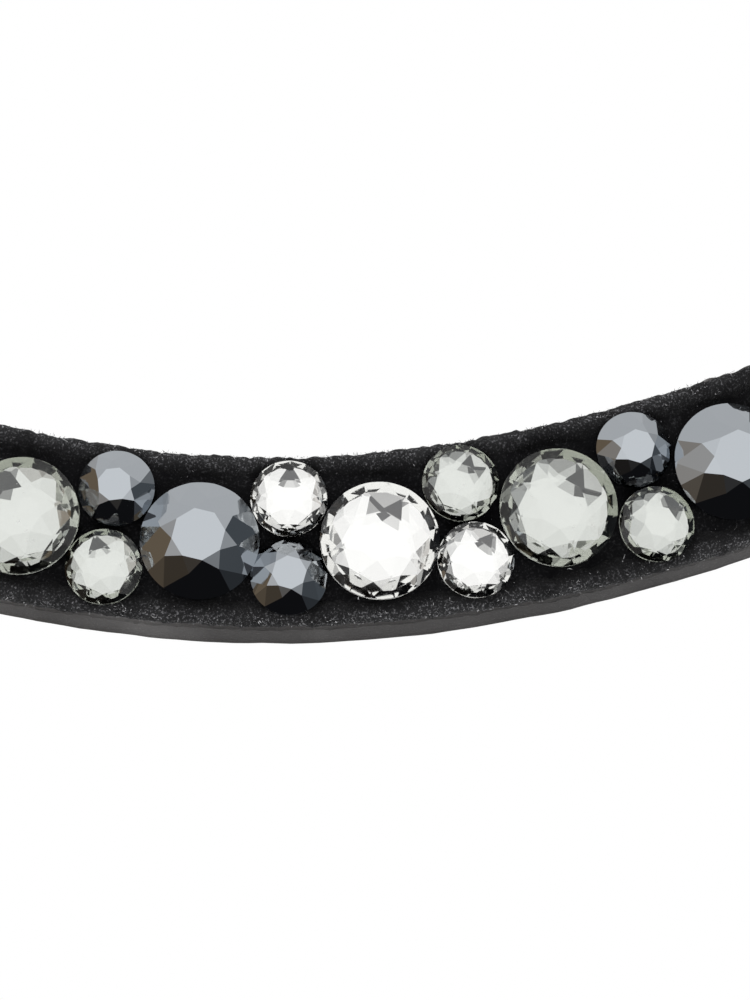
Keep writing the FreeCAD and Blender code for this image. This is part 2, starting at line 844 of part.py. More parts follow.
def crystals():
    """The stones: a row of large ones, with a pair of small ones between each two."""
    pitch = size("stone_pitch")
    seat = size("lining_thick") + size("face_thick") + size("inlay_thick")
    seat += size("stone_seat")
    colours = ("clear", "smoke", "jet")
    cuts = {}
    for word in ("large", "small"):
        across = size(f"{word}_stone")
        height = size(f"{word}_stone_height")
        for colour in colours:
            table, waist = (0.44, 0.79) if colour == "jet" else (0.40, 0.76)
            cuts[word, colour] = cut_stone(across, table, waist, height)
    groups = {key: [] for key in cuts}

    def set_stone(key, place, offset, spin):
        here, along, up, out = brow_frame(place)
        turn = FreeCAD.Rotation(along, up, out, "ZXY")
        turn = turn.multiply(FreeCAD.Rotation(V(0, 0, 1), spin))
        stone = cuts[key].copy()
        stone.Placement = FreeCAD.Placement(here + up * offset + out * seat, turn)
        groups[key].append(stone)

    for number in range(FIRST_STONE, LAST_STONE + 1):
        colour = colours[number % 3]
        following = colours[(number + 1) % 3]
        distance = size("stone_phase") + number * pitch
        set_stone(("large", colour), stone_place(distance), 0.0, 7.0 * number)
        if number == LAST_STONE:
            continue
        between = stone_place(distance + pitch / 2)
        set_stone(("small", following), between, size("pair_spread") / 2, 11.0 * number)
        set_stone(("small", colour), between, -size("pair_spread") / 2, 17.0 * number)
    for (word, colour), stones in groups.items():
        feature = doc.addObject("Part::Feature", f"{word}_{colour}")
        feature.Shape = Part.makeCompound(stones)
        keep(feature, f"crystals_{word}_{colour}")


def noseband():
    """The cavesson: padded nosepiece, jaw strap, chape and splice."""
    reach = size("nose_half_length")
    pad_thick = size("nose_pad_thick")
    low = pad_thick + 0.1
    outline = band_outline(nose, 0, reach, low, low + size("nose_leather_thick"), True)
    leather = padded_body("nose_leather_body", "XY_Plane", outline, "Sizes.nose_height")
    leather.setExpression("Placement.Base.z", "Sizes.nose_level")
    keep(leather, "nosepiece_leather")
    outline = band_outline(nose, 0, reach - 22.0, 0.0, pad_thick, True)
    pad = padded_body("nose_pad_body", "XY_Plane", outline, "Sizes.nose_height")
    pad.setExpression("Placement.Base.z", "Sizes.nose_level")
    keep(pad, "nosepiece_pad")

    bar = size("jaw_bar_place")
    bar_level = pad_thick - size("fold_radius")
    inner = pad_thick - size("strap_thick") - 0.2
    buried = jaw.length - reach + 20.0
    outline = folded_outline(jaw, bar, buried, bar_level, inner, 34.0)
    outline.append(joined(jaw.at(buried, inner)[0], jaw.at(buried, pad_thick)[0]))
    chape = padded_body("chape_body", "XY_Plane", outline, "Sizes.jaw_width")
    chape.setExpression("Placement.Base.z", "Sizes.nose_level")
    tools = fold_cuts("chape_fold", jaw_place(bar), bar_level)
    keep(cut("chape_cut", chape, tools), "jaw_chape")

    strap_low = pad_thick + 0.2
    strap_high = strap_low + size("strap_thick")
    tip = bar + size("tail_length")
    hidden = jaw.length - reach - 0.4
    left_part = jaw.curves(0, tip, strap_low) + jaw.curves(0, tip, strap_high)
    left_part.append(joined(jaw.at(tip, strap_low)[0], jaw.at(tip, strap_high)[0]))
    right_part = jaw.curves(0, hidden, strap_low) + jaw.curves(0, hidden, strap_high)
    right_part.append(joined(jaw.at(hidden, strap_low)[0], jaw.at(hidden, strap_high)[0]))
    outline = left_part + mirrored_curves(right_part)
    strap = padded_body("jaw_strap_body", "XY_Plane", outline, "Sizes.jaw_width")
    strap.setExpression("Placement.Base.z", "Sizes.nose_level")
    slot = tongue_slot("jaw_slot", jaw_place(bar), bar_level)
    keep(cut("jaw_strap_cut", strap, [slot]), "jaw_strap")

    outline = band_outline(jaw, hidden - 40.0, buried, inner, pad_thick)
    splice = padded_body("splice_body", "XY_Plane", mirrored_curves(outline), "Sizes.jaw_width")
    splice.setExpression("Placement.Base.z", "Sizes.nose_level")
    keep(splice, "jaw_splice")
    fastening("jaw", jaw_place, bar, bar_level, strap_high, size("jaw_width"), ("left",))


def hanger_sections(first, last, low, high, sign, step_out=None):
    """Flat sections of the noseband's hanger between two levels, on the left or the right.

    step_out gives the places between which the strap moves outward, and how far.
    """
    count = max(4, round((last - first) / 8.0))
    half = size("noseband_hanger_width") / 2
    sections = []
    for number in range(count + 1):
        place = first + (last - first) * number / count
        lift = 0.0
        if step_out:
            lift = step_out[2] * eased((place - step_out[0]) / (step_out[1] - step_out[0]))
        under = hanger_line(place, low + lift)
        over = hanger_line(place, high + lift)
        near = max(place - 1.0, side.pieces[1][0])
        along = (hanger_line(place + 1.0, low) - hanger_line(near, low)).normalize()
        out = (over - under).normalize()
        across = out.cross(along).normalize() * half
        ring = [under - across, under + across, over + across, over - across]
        sections.append([V(p.x * sign, p.y, p.z) for p in ring])
    return sections


def hanger():
    """The noseband's hanger: over the poll, down the right side and to a buckle on the left."""
    low = size("under_level")
    high = low + size("strap_thick")
    join = side.pieces[1][0]
    bar = size("hanger_bar_place")
    end = size("hanger_end")
    outline = band_outline(side, 0, join, low, high, True)
    over = padded_body("hanger_over", "XZ_Plane", outline, "Sizes.noseband_hanger_width")
    over.setExpression("Placement.Base.y", "Sizes.noseband_lane")
    right = ribbon("hanger_down_right", hanger_sections(join, end, low, high, -1))
    tail = bar + size("tail_length")
    step_out = (bar - 75.0, bar - 28.0, size("strap_thick") + 0.3)
    left = ribbon("hanger_down_left", hanger_sections(join, tail, low, high, 1, step_out))
    whole = fused("hanger_whole", [over, right, left])
    bar_level = size("fold_level")
    slot = tongue_slot("hanger_slot", hanger_place(bar), bar_level)
    keep(cut("hanger_cut", whole, [slot]), "noseband_hanger")

    width = size("noseband_hanger_width")
    radius = size("fold_radius")
    point = ribbon("hanger_point_strap", hanger_sections(bar, end, low, high, 1))
    here = hanger_place(bar)
    turned_in = hanger_sections(bar, bar + size("hanger_fold"), bar_level - radius, low + 0.05, 1)
    turned_in = ribbon("hanger_turned_in", turned_in)
    knuckle = rod("hanger_knuckle", radius, width, V(0, -width / 2, bar_level), V(0, 1, 0), here)
    blank = fused("hanger_point_blank", [point, turned_in, knuckle])
    keep(cut("hanger_point_cut", blank, fold_cuts("hanger_fold", here, bar_level)), "noseband_point")
    outer = high + step_out[2]
    sides = ("left",)
    fastening("hanger", hanger_place, bar, bar_level, outer, width, sides, gap=0.4, ease=1.1, loose=0.55)


def bit(ring_centre):
    """A loose-ring snaffle with two cannons and a lozenge, hanging from the cheekpieces."""
    lane = size("cheek_lane")
    radius = size("ring_radius")
    middle = V(ring_centre.x, lane, ring_centre.y - radius + 0.2)
    ring = doc.addObject("Part::Torus", "bit_ring")
    ring.setExpression("Radius1", "Sizes.ring_radius")
    ring.setExpression("Radius2", "Sizes.ring_wire")
    ring.Placement = FreeCAD.Placement(middle, FreeCAD.Rotation(V(0, 1, 0), 90))
    keep(ring, "bit_ring_left")
    other_side(ring, "bit_ring_right")

    hole = middle - V(0, 0, radius - 0.6)
    length = size("cannon_length")
    inner_eye = size("lozenge_half")
    drop = math.degrees(math.acos((hole.x - inner_eye) / length))
    along = FreeCAD.Placement(hole, FreeCAD.Rotation(V(0, 1, 0), 180 - drop))
    body = doc.addObject("PartDesign::Body", "cannon_body")
    tip = length - size("eye_radius") - 0.2
    profile = [*CANNON_PROFILE, (tip, CANNON_TIP_RADIUS), (tip, 0.0)]
    outline = [V(along_it, out, 0) for along_it, out in profile]
    count = len(outline)
    lines = [joined(outline[n], outline[(n + 1) % count]) for n in range(count)]
    sketch = new_sketch(body, "cannon_profile", "XY_Plane", lines)
    turned = body.newObject("PartDesign::Revolution", "cannon_turned")
    turned.Profile = sketch
    turned.ReferenceAxis = (sketch, ["H_Axis"])
    turned.Angle = 360.0
    body.Placement = along
    eye = doc.addObject("Part::Torus", "cannon_eye")
    eye.setExpression("Radius1", "Sizes.eye_radius")
    eye.setExpression("Radius2", "Sizes.eye_wire")
    eye_turn = FreeCAD.Rotation(V(1, 0, 0), 90)
    eye.Placement = along.multiply(FreeCAD.Placement(V(length, 0, 0), eye_turn))
    bore = rod("cannon_bore", size("cannon_bore"), 40.0, V(0, -20, 0), V(0, 1, 0), along)
    eye_clear = size("eye_radius") - size("eye_wire")
    clear = rod("cannon_eye_clear", eye_clear, 20.0, V(length, -10, 0), V(0, 1, 0), along)
    cannon = cut("cannon_bored", fused("cannon_blank", [body, eye]), [bore, clear])
    keep(cannon, "cannon_left")
    other_side(cannon, "cannon_right")

    level = hole.z - length * math.sin(math.radians(drop))
    outline = [Part.Ellipse(V(0, 0, 0), size("lozenge_length") / 2, size("lozenge_depth") / 2)]
    for x in (-8.0, 8.0):
        outline.append(Part.Circle(V(x, 0, 0), V(0, 0, 1), size("eye_radius") - size("eye_wire") + 0.1))
    plate = padded_body("lozenge_body", "XY_Plane", outline, "Sizes.lozenge_thick")
    plate.Placement = FreeCAD.Placement(V(0, lane, level), FreeCAD.Rotation())
    keep(plate, "lozenge")
    return middle, level


def check_and_write():
    """Recomputes, refuses anything failed or broken, and writes each piece to its own file."""
    doc.recompute()
    for thing in doc.Objects:
        if "Invalid" in thing.State or "Error" in thing.State:
            raise RuntimeError(f"{thing.Label} failed: {thing.State}")
    os.makedirs("parts", exist_ok=True)
    for piece in made:
        shape = piece.Shape
        if shape.isNull() or not shape.isValid() or shape.Volume <= 0:
            raise RuntimeError(f"{piece.Label} is not a good solid")
        shape.exportStep(f"parts/{piece.Label}.step")
        box_of = shape.BoundBox
        print(
            f"{piece.Label:24s} solids {len(shape.Solids):3d} volume {shape.Volume:9.1f}"
            f"  x {box_of.XMin:7.1f} {box_of.XMax:7.1f}  y {box_of.YMin:7.1f} {box_of.YMax:7.1f}"
            f"  z {box_of.ZMin:7.1f} {box_of.ZMax:7.1f}"
        )
    print(len(made), "pieces")


crown()
ring_centre = cheekpiece()
hook_stud()
tail_top = size("upper_level") + size("strap_thick")
both = ("left", "right")
level = size("fold_level")
bar = size("cheek_bar_place")
fastening("cheek", cheek_place, bar, level, tail_top, size("cheek_width"), both)
throatlash()
bar = size("throat_bar_place")
fastening("throat", flare_place, bar, level, tail_top, size("throat_width"), both, gap=0.4)
browband()
crystals()
noseband()
hanger()
middle, lozenge_level = bit(ring_centre)
print("ring centre", middle, "lozenge level", lozenge_level, "tangent places", side.length)
check_and_write()
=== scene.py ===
"""A black snaffle bridle with a crystal browband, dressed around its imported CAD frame.

Lengths are in millimetres in every class and helper, and turn to metres when a mesh is finished.
+Z is up, -Y is the way the horse faces and +X is the horse's left side.
"""
from __future__ import annotations

import logging
import math
import random
from collections.abc import Callable, Sequence
from dataclasses import dataclass, field
from enum import Enum
from functools import partial
from typing import NamedTuple

import bmesh
import bpy
from mathutils import Matrix, Quaternion, Vector, noise

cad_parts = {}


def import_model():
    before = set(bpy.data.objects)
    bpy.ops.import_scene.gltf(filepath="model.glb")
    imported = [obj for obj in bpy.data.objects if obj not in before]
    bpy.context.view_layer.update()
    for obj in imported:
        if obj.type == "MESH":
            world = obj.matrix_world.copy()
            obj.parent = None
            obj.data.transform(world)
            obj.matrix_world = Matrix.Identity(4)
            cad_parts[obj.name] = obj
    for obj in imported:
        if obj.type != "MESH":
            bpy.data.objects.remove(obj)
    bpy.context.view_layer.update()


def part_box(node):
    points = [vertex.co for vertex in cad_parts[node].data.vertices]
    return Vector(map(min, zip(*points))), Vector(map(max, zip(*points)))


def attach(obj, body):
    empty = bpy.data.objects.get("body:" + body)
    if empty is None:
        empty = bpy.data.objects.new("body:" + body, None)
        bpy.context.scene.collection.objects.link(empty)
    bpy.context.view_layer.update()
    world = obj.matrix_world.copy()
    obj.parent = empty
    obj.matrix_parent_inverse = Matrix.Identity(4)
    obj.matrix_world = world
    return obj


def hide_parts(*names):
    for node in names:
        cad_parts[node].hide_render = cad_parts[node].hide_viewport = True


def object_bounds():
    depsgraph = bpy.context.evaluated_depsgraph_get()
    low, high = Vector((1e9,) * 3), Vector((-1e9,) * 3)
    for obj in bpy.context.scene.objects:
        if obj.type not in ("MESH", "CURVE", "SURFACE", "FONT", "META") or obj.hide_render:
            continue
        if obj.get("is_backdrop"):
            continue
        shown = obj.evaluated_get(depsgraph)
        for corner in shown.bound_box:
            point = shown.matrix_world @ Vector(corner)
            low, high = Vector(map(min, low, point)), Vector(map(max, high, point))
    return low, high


LOG = logging.getLogger("bridle")
MM = 0.001
ROOT = "headstall"
SIDES = (("left", 1.0), ("right", -1.0))
# from the frame's boxes to the lines that the straps follow, in millimetres
LOOP_INSET = 0.1
LINING_INSET = 0.2
NOSE_DEPTH = 8.6


# Small tools ----------------------------------------------------------------------------------


def linear(code: str) -> tuple[float, float, float, float]:
    """Turns an sRGB hex colour to linear RGBA.

    Args:
        code: The colour as six hex digits.

    Returns:
        The linear colour that a shader's socket takes.
    """
    channels = [int(code[n : n + 2], 16) / 255 for n in (0, 2, 4)]
    turned = [c / 12.92 if c <= 0.04045 else ((c + 0.055) / 1.055) ** 2.4 for c in channels]
    return (turned[0], turned[1], turned[2], 1.0)


def add_node(
    tree: bpy.types.NodeTree,
    kind: str,
    links: dict[int | str, object] | None = None,
    **settings: object,
) -> bpy.types.Node:
    """Adds a node to a tree.

    Args:
        tree: The tree that gets the node.
        kind: The node's type name.
        links: For each input socket, by name or number, its value or the output socket that feeds it.
        **settings: The node's own settings.

    Returns:
        The new node.
    """
    made = tree.nodes.new(kind)
    for name, value in settings.items():
        setattr(made, name, value)
    for name, value in (links or {}).items():
        if isinstance(value, bpy.types.NodeSocket):
            tree.links.new(value, made.inputs[name])
        else:
            made.inputs[name].default_value = value
    return made


def eased(share: float) -> float:
    """A smooth rise from 0 to 1, for a share that may lie outside them."""
    share = min(1.0, max(0.0, share))
    return share * share * (3 - 2 * share)


def new_object(name: str, bm: bmesh.types.BMesh, smooth_angle: float | None = None) -> bpy.types.Object:
    """Turns a bmesh in millimetres into an object at the origin.

    Args:
        name: The object's name.
        bm: The shape, which is freed.
        smooth_angle: Edges sharper than this many degrees stay sharp. None leaves it flat.

    Returns:
        The new object, in metres.
    """
    bm.transform(Matrix.Scale(MM, 4))
    mesh = bpy.data.meshes.new(name)
    bm.to_mesh(mesh)
    bm.free()
    if smooth_angle is not None:
        mesh.shade_smooth()
        mesh.set_sharp_from_angle(angle=math.radians(smooth_angle))
    made = bpy.data.objects.new(name, mesh)
    bpy.context.scene.collection.objects.link(made)
    return made


def settle(
    piece: bpy.types.Object,
    finish: bpy.types.Material,
    body: str = ROOT,
    nodes: Sequence[str] = (),
) -> None:
    """Gives a piece its finish, its body and the nodes that it stands for, and reports it.

    Args:
        piece: The piece.
        finish: Its material, unless it already has some.
        body: The body that it moves with.
        nodes: The CAD nodes that it replaces.
    """
    if not piece.data.materials:
        piece.data.materials.append(finish)
    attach(piece, body)
    if nodes:
        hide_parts(*nodes)
    LOG.info("%s: %d faces on %s", piece.name, len(piece.data.polygons), body)


class Frame(NamedTuple):
    """A place on a strap: a point with the ways along it, across it and out of its face."""

    point: Vector
    along: Vector
    across: Vector
    out: Vector

    def at(self, across: float, out: float) -> Vector:
        """The point at these distances across and out."""
        return self.point + self.across * across + self.out * out

    def facing(self) -> Matrix:
        """The turn that lays a shape on the face, with its X along the strap and its Z out."""
        return Matrix((self.along, self.out.cross(self.along), self.out)).transposed().to_4x4()


Outline = list[tuple[float, float]]


def rounded_outline(half: float, low: float, high: float, radius: float, steps: int = 4) -> Outline:
    """A rectangle's outline with rounded corners.

    Args:
        half: Half its width.
        low: The level of its lower side.
        high: The level of its upper side.
        radius: The radius of its corners.
        steps: The number of points round a corner, less one.

    Returns:
        The outline as (across, out) pairs.
    """
    corners = ((half, low, -90.0), (half, high, 0.0), (-half, high, 90.0), (-half, low, 180.0))
    points = []
    for across, out, start in corners:
        centre_across = across - math.copysign(radius, across)
        centre_out = out - (radius if out == high else -radius)
        for step in range(steps + 1):
            angle = math.radians(start + 90.0 * step / steps)
            spot = (centre_across + radius * math.cos(angle), centre_out + radius * math.sin(angle))
            points.append(spot)
    return points


def sweep(
    outline: Callable[[float], Outline],
    frames: Sequence[Frame],
    mark: Callable[[float, float], float] | None = None,
) -> bmesh.types.BMesh:
    """Carries a closed outline along a run of frames and closes both ends.

    Args:
        outline: Gives the outline for a share of the way along, always with as many points.
        frames: The places to pass through, in order.
        mark: Gives each point's value in the vertex attribute "mark", from its across and out.

    Returns:
        The closed shape, with a UV map in metres along and around.
    """
    rows = len(frames) - 1
    columns = len(outline(0.0))
    bm = bmesh.new()
    uv = bm.loops.layers.uv.new("UVMap")
    bmesh.ops.create_grid(bm, x_segments=rows, y_segments=columns, size=0.5, calc_uvs=True)
    length = sum((b.point - a.point).length for a, b in zip(frames, frames[1:]))
    ring = outline(0.5)
    around = sum(math.dist(a, b) for a, b in zip(ring, ring[1:] + ring[:1]))
    for face in bm.faces:
        for loop in face.loops:
            loop[uv].uv = (loop[uv].uv.x * length * MM, loop[uv].uv.y * around * MM)
    layer = bm.verts.layers.float.new("mark") if mark else None
    for vert in bm.verts:
        row = round((vert.co.x + 0.5) * rows)
        column = round((vert.co.y + 0.5) * columns) % columns
        across, out = outline(row / rows)[column]
        vert.co = frames[row].at(across, out)
        if layer is not None:
            vert[layer] = mark(across, out)
    bmesh.ops.remove_doubles(bm, verts=bm.verts, dist=1e-4)
    bmesh.ops.holes_fill(bm, edges=[e for e in bm.edges if e.is_boundary], sides=0)
    bmesh.ops.recalc_face_normals(bm, faces=bm.faces)
    return bm


def roughen(bm: bmesh.types.BMesh, depth: float, grain: float, seed: float = 0.0) -> None:
    """Moves each vertex along its normal by smooth noise.

    Args:
        bm: The shape.
        depth: The largest move, in millimetres.
        grain: The size of a bump, in millimetres.
        seed: Shifts the noise, so that two shapes differ.
    """
    bm.normal_update()
    shift = Vector((seed, seed * 0.7, -seed))
    moves = [v.normal * depth * noise.noise(v.co / grain + shift) for v in bm.verts]
    for vert, move in zip(bm.verts, moves):
        vert.co += move


def scattered(name: str, template: bmesh.types.BMesh, places: Sequence[Matrix]) -> bpy.types.Object:
    """One object that repeats a small shape at many places.

    Args:
        name: The object's name.
        template: The small shape in millimetres, which is freed.
        places: Where each copy goes, in millimetres.

    Returns:
        The joined object.
    """
    corners = [v.co.copy() for v in template.verts]
    template.verts.index_update()
    polygons = [[v.index for v in f.verts] for f in template.faces]
    template.free()
    points = []
    faces = []
    for matrix in places:
        first = len(points)
        points.extend((matrix @ corner) * MM for corner in corners)
        faces.extend([first + index for index in polygon] for polygon in polygons)
    mesh = bpy.data.meshes.new(name)
    mesh.from_pydata(points, [], faces)
    mesh.shade_smooth()
    made = bpy.data.objects.new(name, mesh)
    bpy.context.scene.collection.objects.link(made)
    return made


def stuffed_strip(
    at: Callable[[float], Frame], reach: float, half: float, thick: float
) -> bmesh.types.BMesh:
    """A long flat pad of soft leather over foam: crowned in section, and thin where its ends are sewn.

    Args:
        at: Gives the frame at a place along the pad.
        reach: The length from its middle to either end.
        half: Half its width.
        thick: Its full thickness.

    Returns:
        The closed pad.
    """
    points, rows = 36, 120
    sewn_share = 0.03

    def section(share: float) -> Outline:
        """The pad's outline at a share of the way along."""
        full = eased(min(share, 1 - share) / sewn_share)
        width = half * (0.9 + 0.1 * full)
        depth = thick / 2 * (0.35 + 0.65 * full)
        outline = []
        for n in range(points):
            angle = 2 * math.pi * n / points
            across = math.copysign(abs(math.cos(angle)) ** 0.35, math.cos(angle)) * width
            swell = math.copysign(abs(math.sin(angle)) ** 0.55, math.sin(angle))
            outline.append((across, thick / 2 + swell * depth))
        return outline

    return sweep(section, [at(-reach + 2 * reach * n / rows) for n in range(rows + 1)])


def softened(node: str, radius: float, segments: int = 2, smooth_angle: float = 35.0) -> bpy.types.Object:
    """A copy of a CAD node with its sharp edges rounded off.

    Args:
        node: The CAD node's name.
        radius: How far the rounding reaches from each edge. 0 leaves the edges as they are.
        segments: The number of faces across the rounding.
        smooth_angle: Edges sharper than this many degrees are rounded, and others are shaded smooth.

    Returns:
        The finished copy, which stands at the origin.
    """
    bm = bmesh.new()
    bm.from_mesh(bpy.data.objects[node].data)
    bm.transform(Matrix.Scale(1 / MM, 4))
    bmesh.ops.remove_doubles(bm, verts=bm.verts, dist=1e-3)
    bmesh.ops.dissolve_limit(
        bm, angle_limit=math.radians(0.6), use_dissolve_boundaries=False, verts=bm.verts, edges=bm.edges
    )
    if radius:
        least = math.radians(smooth_angle)
        sharp = [e for e in bm.edges if e.is_manifold and e.calc_face_angle(0) > least]
        bmesh.ops.bevel(
            bm,
            geom=sharp,
            offset=radius,
            offset_type="OFFSET",
            segments=segments,
            profile=0.5,
            affect="EDGES",
            clamp_overlap=True,
            material=-1,
        )
    return new_object(f"{node}_finished", bm, 50.0)


# Lines that the straps follow -----------------------------------------------------------------


@dataclass(frozen=True)
class BrowLine:
    """The back face of the browband: round the forehead, and dipped in the middle."""

    half_width: float
    level: float
    side_end: float
    front_radius: float = 150.0
    front_turn: float = 22.0
    side_run: float = 88.0
    dip: float = 31.0
    dip_half: float = 125.0
    tilt: float = 12.0

    @property
    def corner_radius(self) -> float:
        """The radius of the bend at each temple."""
        rise = math.sin(math.radians(self.front_turn))
        return (self.half_width - self.front_radius * rise) / (1 - rise)

    @property
    def reach(self) -> float:
        """The length from the middle to either end."""
        front = self.front_radius * math.radians(self.front_turn)
        return front + self.corner_radius * math.radians(90 - self.front_turn) + self.side_run

    def _plan(self, place: float) -> tuple[Vector, float]:
        """Follows the band in plan.

        Args:
            place: The length from the middle towards the left end.

        Returns:
            The point, and the heading in radians away from straight across the forehead.
        """
        turn = math.radians(self.front_turn)
        corner = self.corner_radius
        depth = self.front_radius * (1 - math.cos(turn)) + corner * math.cos(turn)
        front = self.side_end - self.side_run - depth
        bend = self.front_radius * turn
        if place <= bend:
            angle = place / self.front_radius
            radius = self.front_radius
            return Vector((radius * math.sin(angle), front + radius * (1 - math.cos(angle)), 0)), angle
        start = Vector((self.front_radius * math.sin(turn), front + depth - corner * math.cos(turn), 0))
        angle = turn + (place - bend) / corner
        if angle <= math.pi / 2:
            across = corner * (math.sin(angle) - math.sin(turn))
            return start + Vector((across, corner * (math.cos(turn) - math.cos(angle)), 0)), angle
        run = place - bend - corner * (math.pi / 2 - turn)
        return Vector((self.half_width, self.side_end - self.side_run + run, 0)), math.pi / 2

    def _spot(self, place: float) -> Vector:
        """The point at a place, which is negative on the right."""
        point, _ = self._plan(abs(place))
        share = min(abs(place), self.dip_half) / self.dip_half
        drop = self.dip / 2 * (1 + math.cos(math.pi * share))
        return Vector((math.copysign(point.x, place), point.y, self.level - drop))

    def at(self, place: float) -> Frame:
        """The frame at a place on the band.

        Args:
            place: The length from the middle, negative on the right.

        Returns:
            The frame, with across towards the top edge.
        """
        along = (self._spot(place + 0.5) - self._spot(place - 0.5)).normalized()
        _, angle = self._plan(abs(place))
        flat = Vector((math.copysign(math.sin(angle), place), -math.cos(angle), 0))
        up = flat.cross(along).normalized()
        out = along.cross(up)
        share = 0.5 * (1 + math.cos(math.pi * min(abs(place), self.dip_half) / self.dip_half))
        lean = math.radians(self.tilt * share)
        across = up * math.cos(lean) - out * math.sin(lean)
        return Frame(self._spot(place), along, across, out * math.cos(lean) + up * math.sin(lean))

    def place_for(self, distance: float, level: float) -> float:
        """Turns a distance along the band's face to a place on its line.

        Args:
            distance: The length from the middle, measured on the face.
            level: How far the face stands out from the line.

        Returns:
            The place on the line.
        """
        turn = math.radians(self.front_turn)
        left = abs(distance)
        place = 0.0
        for radius, angle in ((self.front_radius, turn), (self.corner_radius, math.pi / 2 - turn)):
            step = min(left, (radius + level) * angle)
            left -= step
            place += step * radius / (radius + level)
        return math.copysign(place + left, distance)

    def run(self, first: float, last: float, step: float) -> list[Frame]:
        """Steps along the band.

        Args:
            first: The place to start at.
            last: The place to end at.
            step: About how far apart the frames are.

        Returns:
            The frames in order.
        """
        count = max(1, round((last - first) / step))
        return [self.at(first + (last - first) * n / count) for n in range(count + 1)]


@dataclass(frozen=True)
class HeadLine:
    """The inner line of the headstall in the X-Z plane, from the poll down either side."""

    poll_radius: float = 56.0
    poll_turn: float = 80.0
    flare_run: float = 130.0
    cheek_radius: float = 300.0
    cheek_turn: float = 16.0
    lower_run: float = 175.0

    @property
    def poll_arc(self) -> float:
        """The length of the arc from the poll down one side."""
        return self.poll_radius * math.radians(self.poll_turn)

    @property
    def cheek_arc(self) -> float:
        """The length of the bend where the flare meets the cheek."""
        return self.cheek_radius * math.radians(self.cheek_turn)

    @property
    def length(self) -> float:
        """The whole length of one side."""
        return self.poll_arc + self.flare_run + self.cheek_arc + self.lower_run

    def at(self, place: float, lane: float, sign: float = 1.0) -> Frame:
        """The frame at a place on either side.

        Args:
            place: The length down from the poll, negative on the other side.
            lane: How far behind the middle of the headstall the strap lies.
            sign: 1 for the left side and -1 for the right.

        Returns:
            The frame, with across towards the back of the head.
        """
        runs = (
            (self.poll_arc, self.poll_radius),
            (self.flare_run, 0.0),
            (self.cheek_arc, self.cheek_radius),
            (self.lower_run, 0.0),
        )
        x, z, angle, left = 0.0, 0.0, 0.0, abs(place)
        for length, radius in runs:
            step = min(left, length)
            left -= step
            if radius:
                turned = angle + step / radius
                x += radius * (math.sin(turned) - math.sin(angle))
                z -= radius * (math.cos(angle) - math.cos(turned))
                angle = turned
            else:
                x += step * math.cos(angle)
                z -= step * math.sin(angle)
            if left <= 0:
                break
        sign *= math.copysign(1.0, place)
        along = Vector((math.cos(angle) * sign, 0, -math.sin(angle)))
        out = Vector((math.sin(angle) * sign, 0, math.cos(angle)))
        return Frame(Vector((x * sign, lane, z)), along, Vector((0, 1, 0)), out)


@dataclass(frozen=True)
class NoseLine:
    """The inner line of the noseband in the X-Y plane, from the nose round to the jaw."""

    front: float
    level: float
    radius: float = 65.5
    side_run: float = 118.0

    def at(self, place: float) -> Frame:
        """The frame at a place on the noseband.

        Args:
            place: The length from the middle of the nose, negative on the right.

        Returns:
            The frame, with across upwards.
        """
        bend = self.radius * math.pi / 2
        distance = abs(place)
        if distance <= bend:
            angle = distance / self.radius
            x = self.radius * math.sin(angle)
            y = self.front + self.radius * (1 - math.cos(angle))
        elif distance <= bend + self.side_run:
            angle = math.pi / 2
            x = self.radius
            y = self.front + self.radius + distance - bend
        else:
            angle = math.pi / 2 + (distance - bend - self.side_run) / self.radius
            x = self.radius * math.sin(angle)
            y = self.front + self.radius + self.side_run - self.radius * math.cos(angle)
        sign = math.copysign(1.0, place)
        along = Vector((math.cos(angle) * sign, math.sin(angle), 0)) * sign
        out = Vector((math.sin(angle) * sign, -math.cos(angle), 0))
        return Frame(Vector((x * sign, y, self.level)), along, Vector((0, 0, 1)), out)


# Finishes -------------------------------------------------------------------------------------


class Blank(NamedTuple):
    """A new material: its tree, its shader and the object coordinates that its patterns follow."""

    material: bpy.types.Material
    tree: bpy.types.NodeTree
    shader: bpy.types.Node
    spot: bpy.types.NodeSocket


def blank(name: str) -> Blank:
    """Starts a material.

    Args:
        name: The material's name.

    Returns:
        The material with the parts of it that a finish builds on.
    """
    made = bpy.data.materials.new(name)
    made.use_nodes = True
    tree = made.node_tree
    spot = add_node(tree, "ShaderNodeTexCoord").outputs["Object"]
    return Blank(made, tree, tree.nodes["Principled BSDF"], spot)


class Nap(Enum):
    """How the pile of a napped material lies."""

    BUFFED = "buffed"
    PILE = "pile"


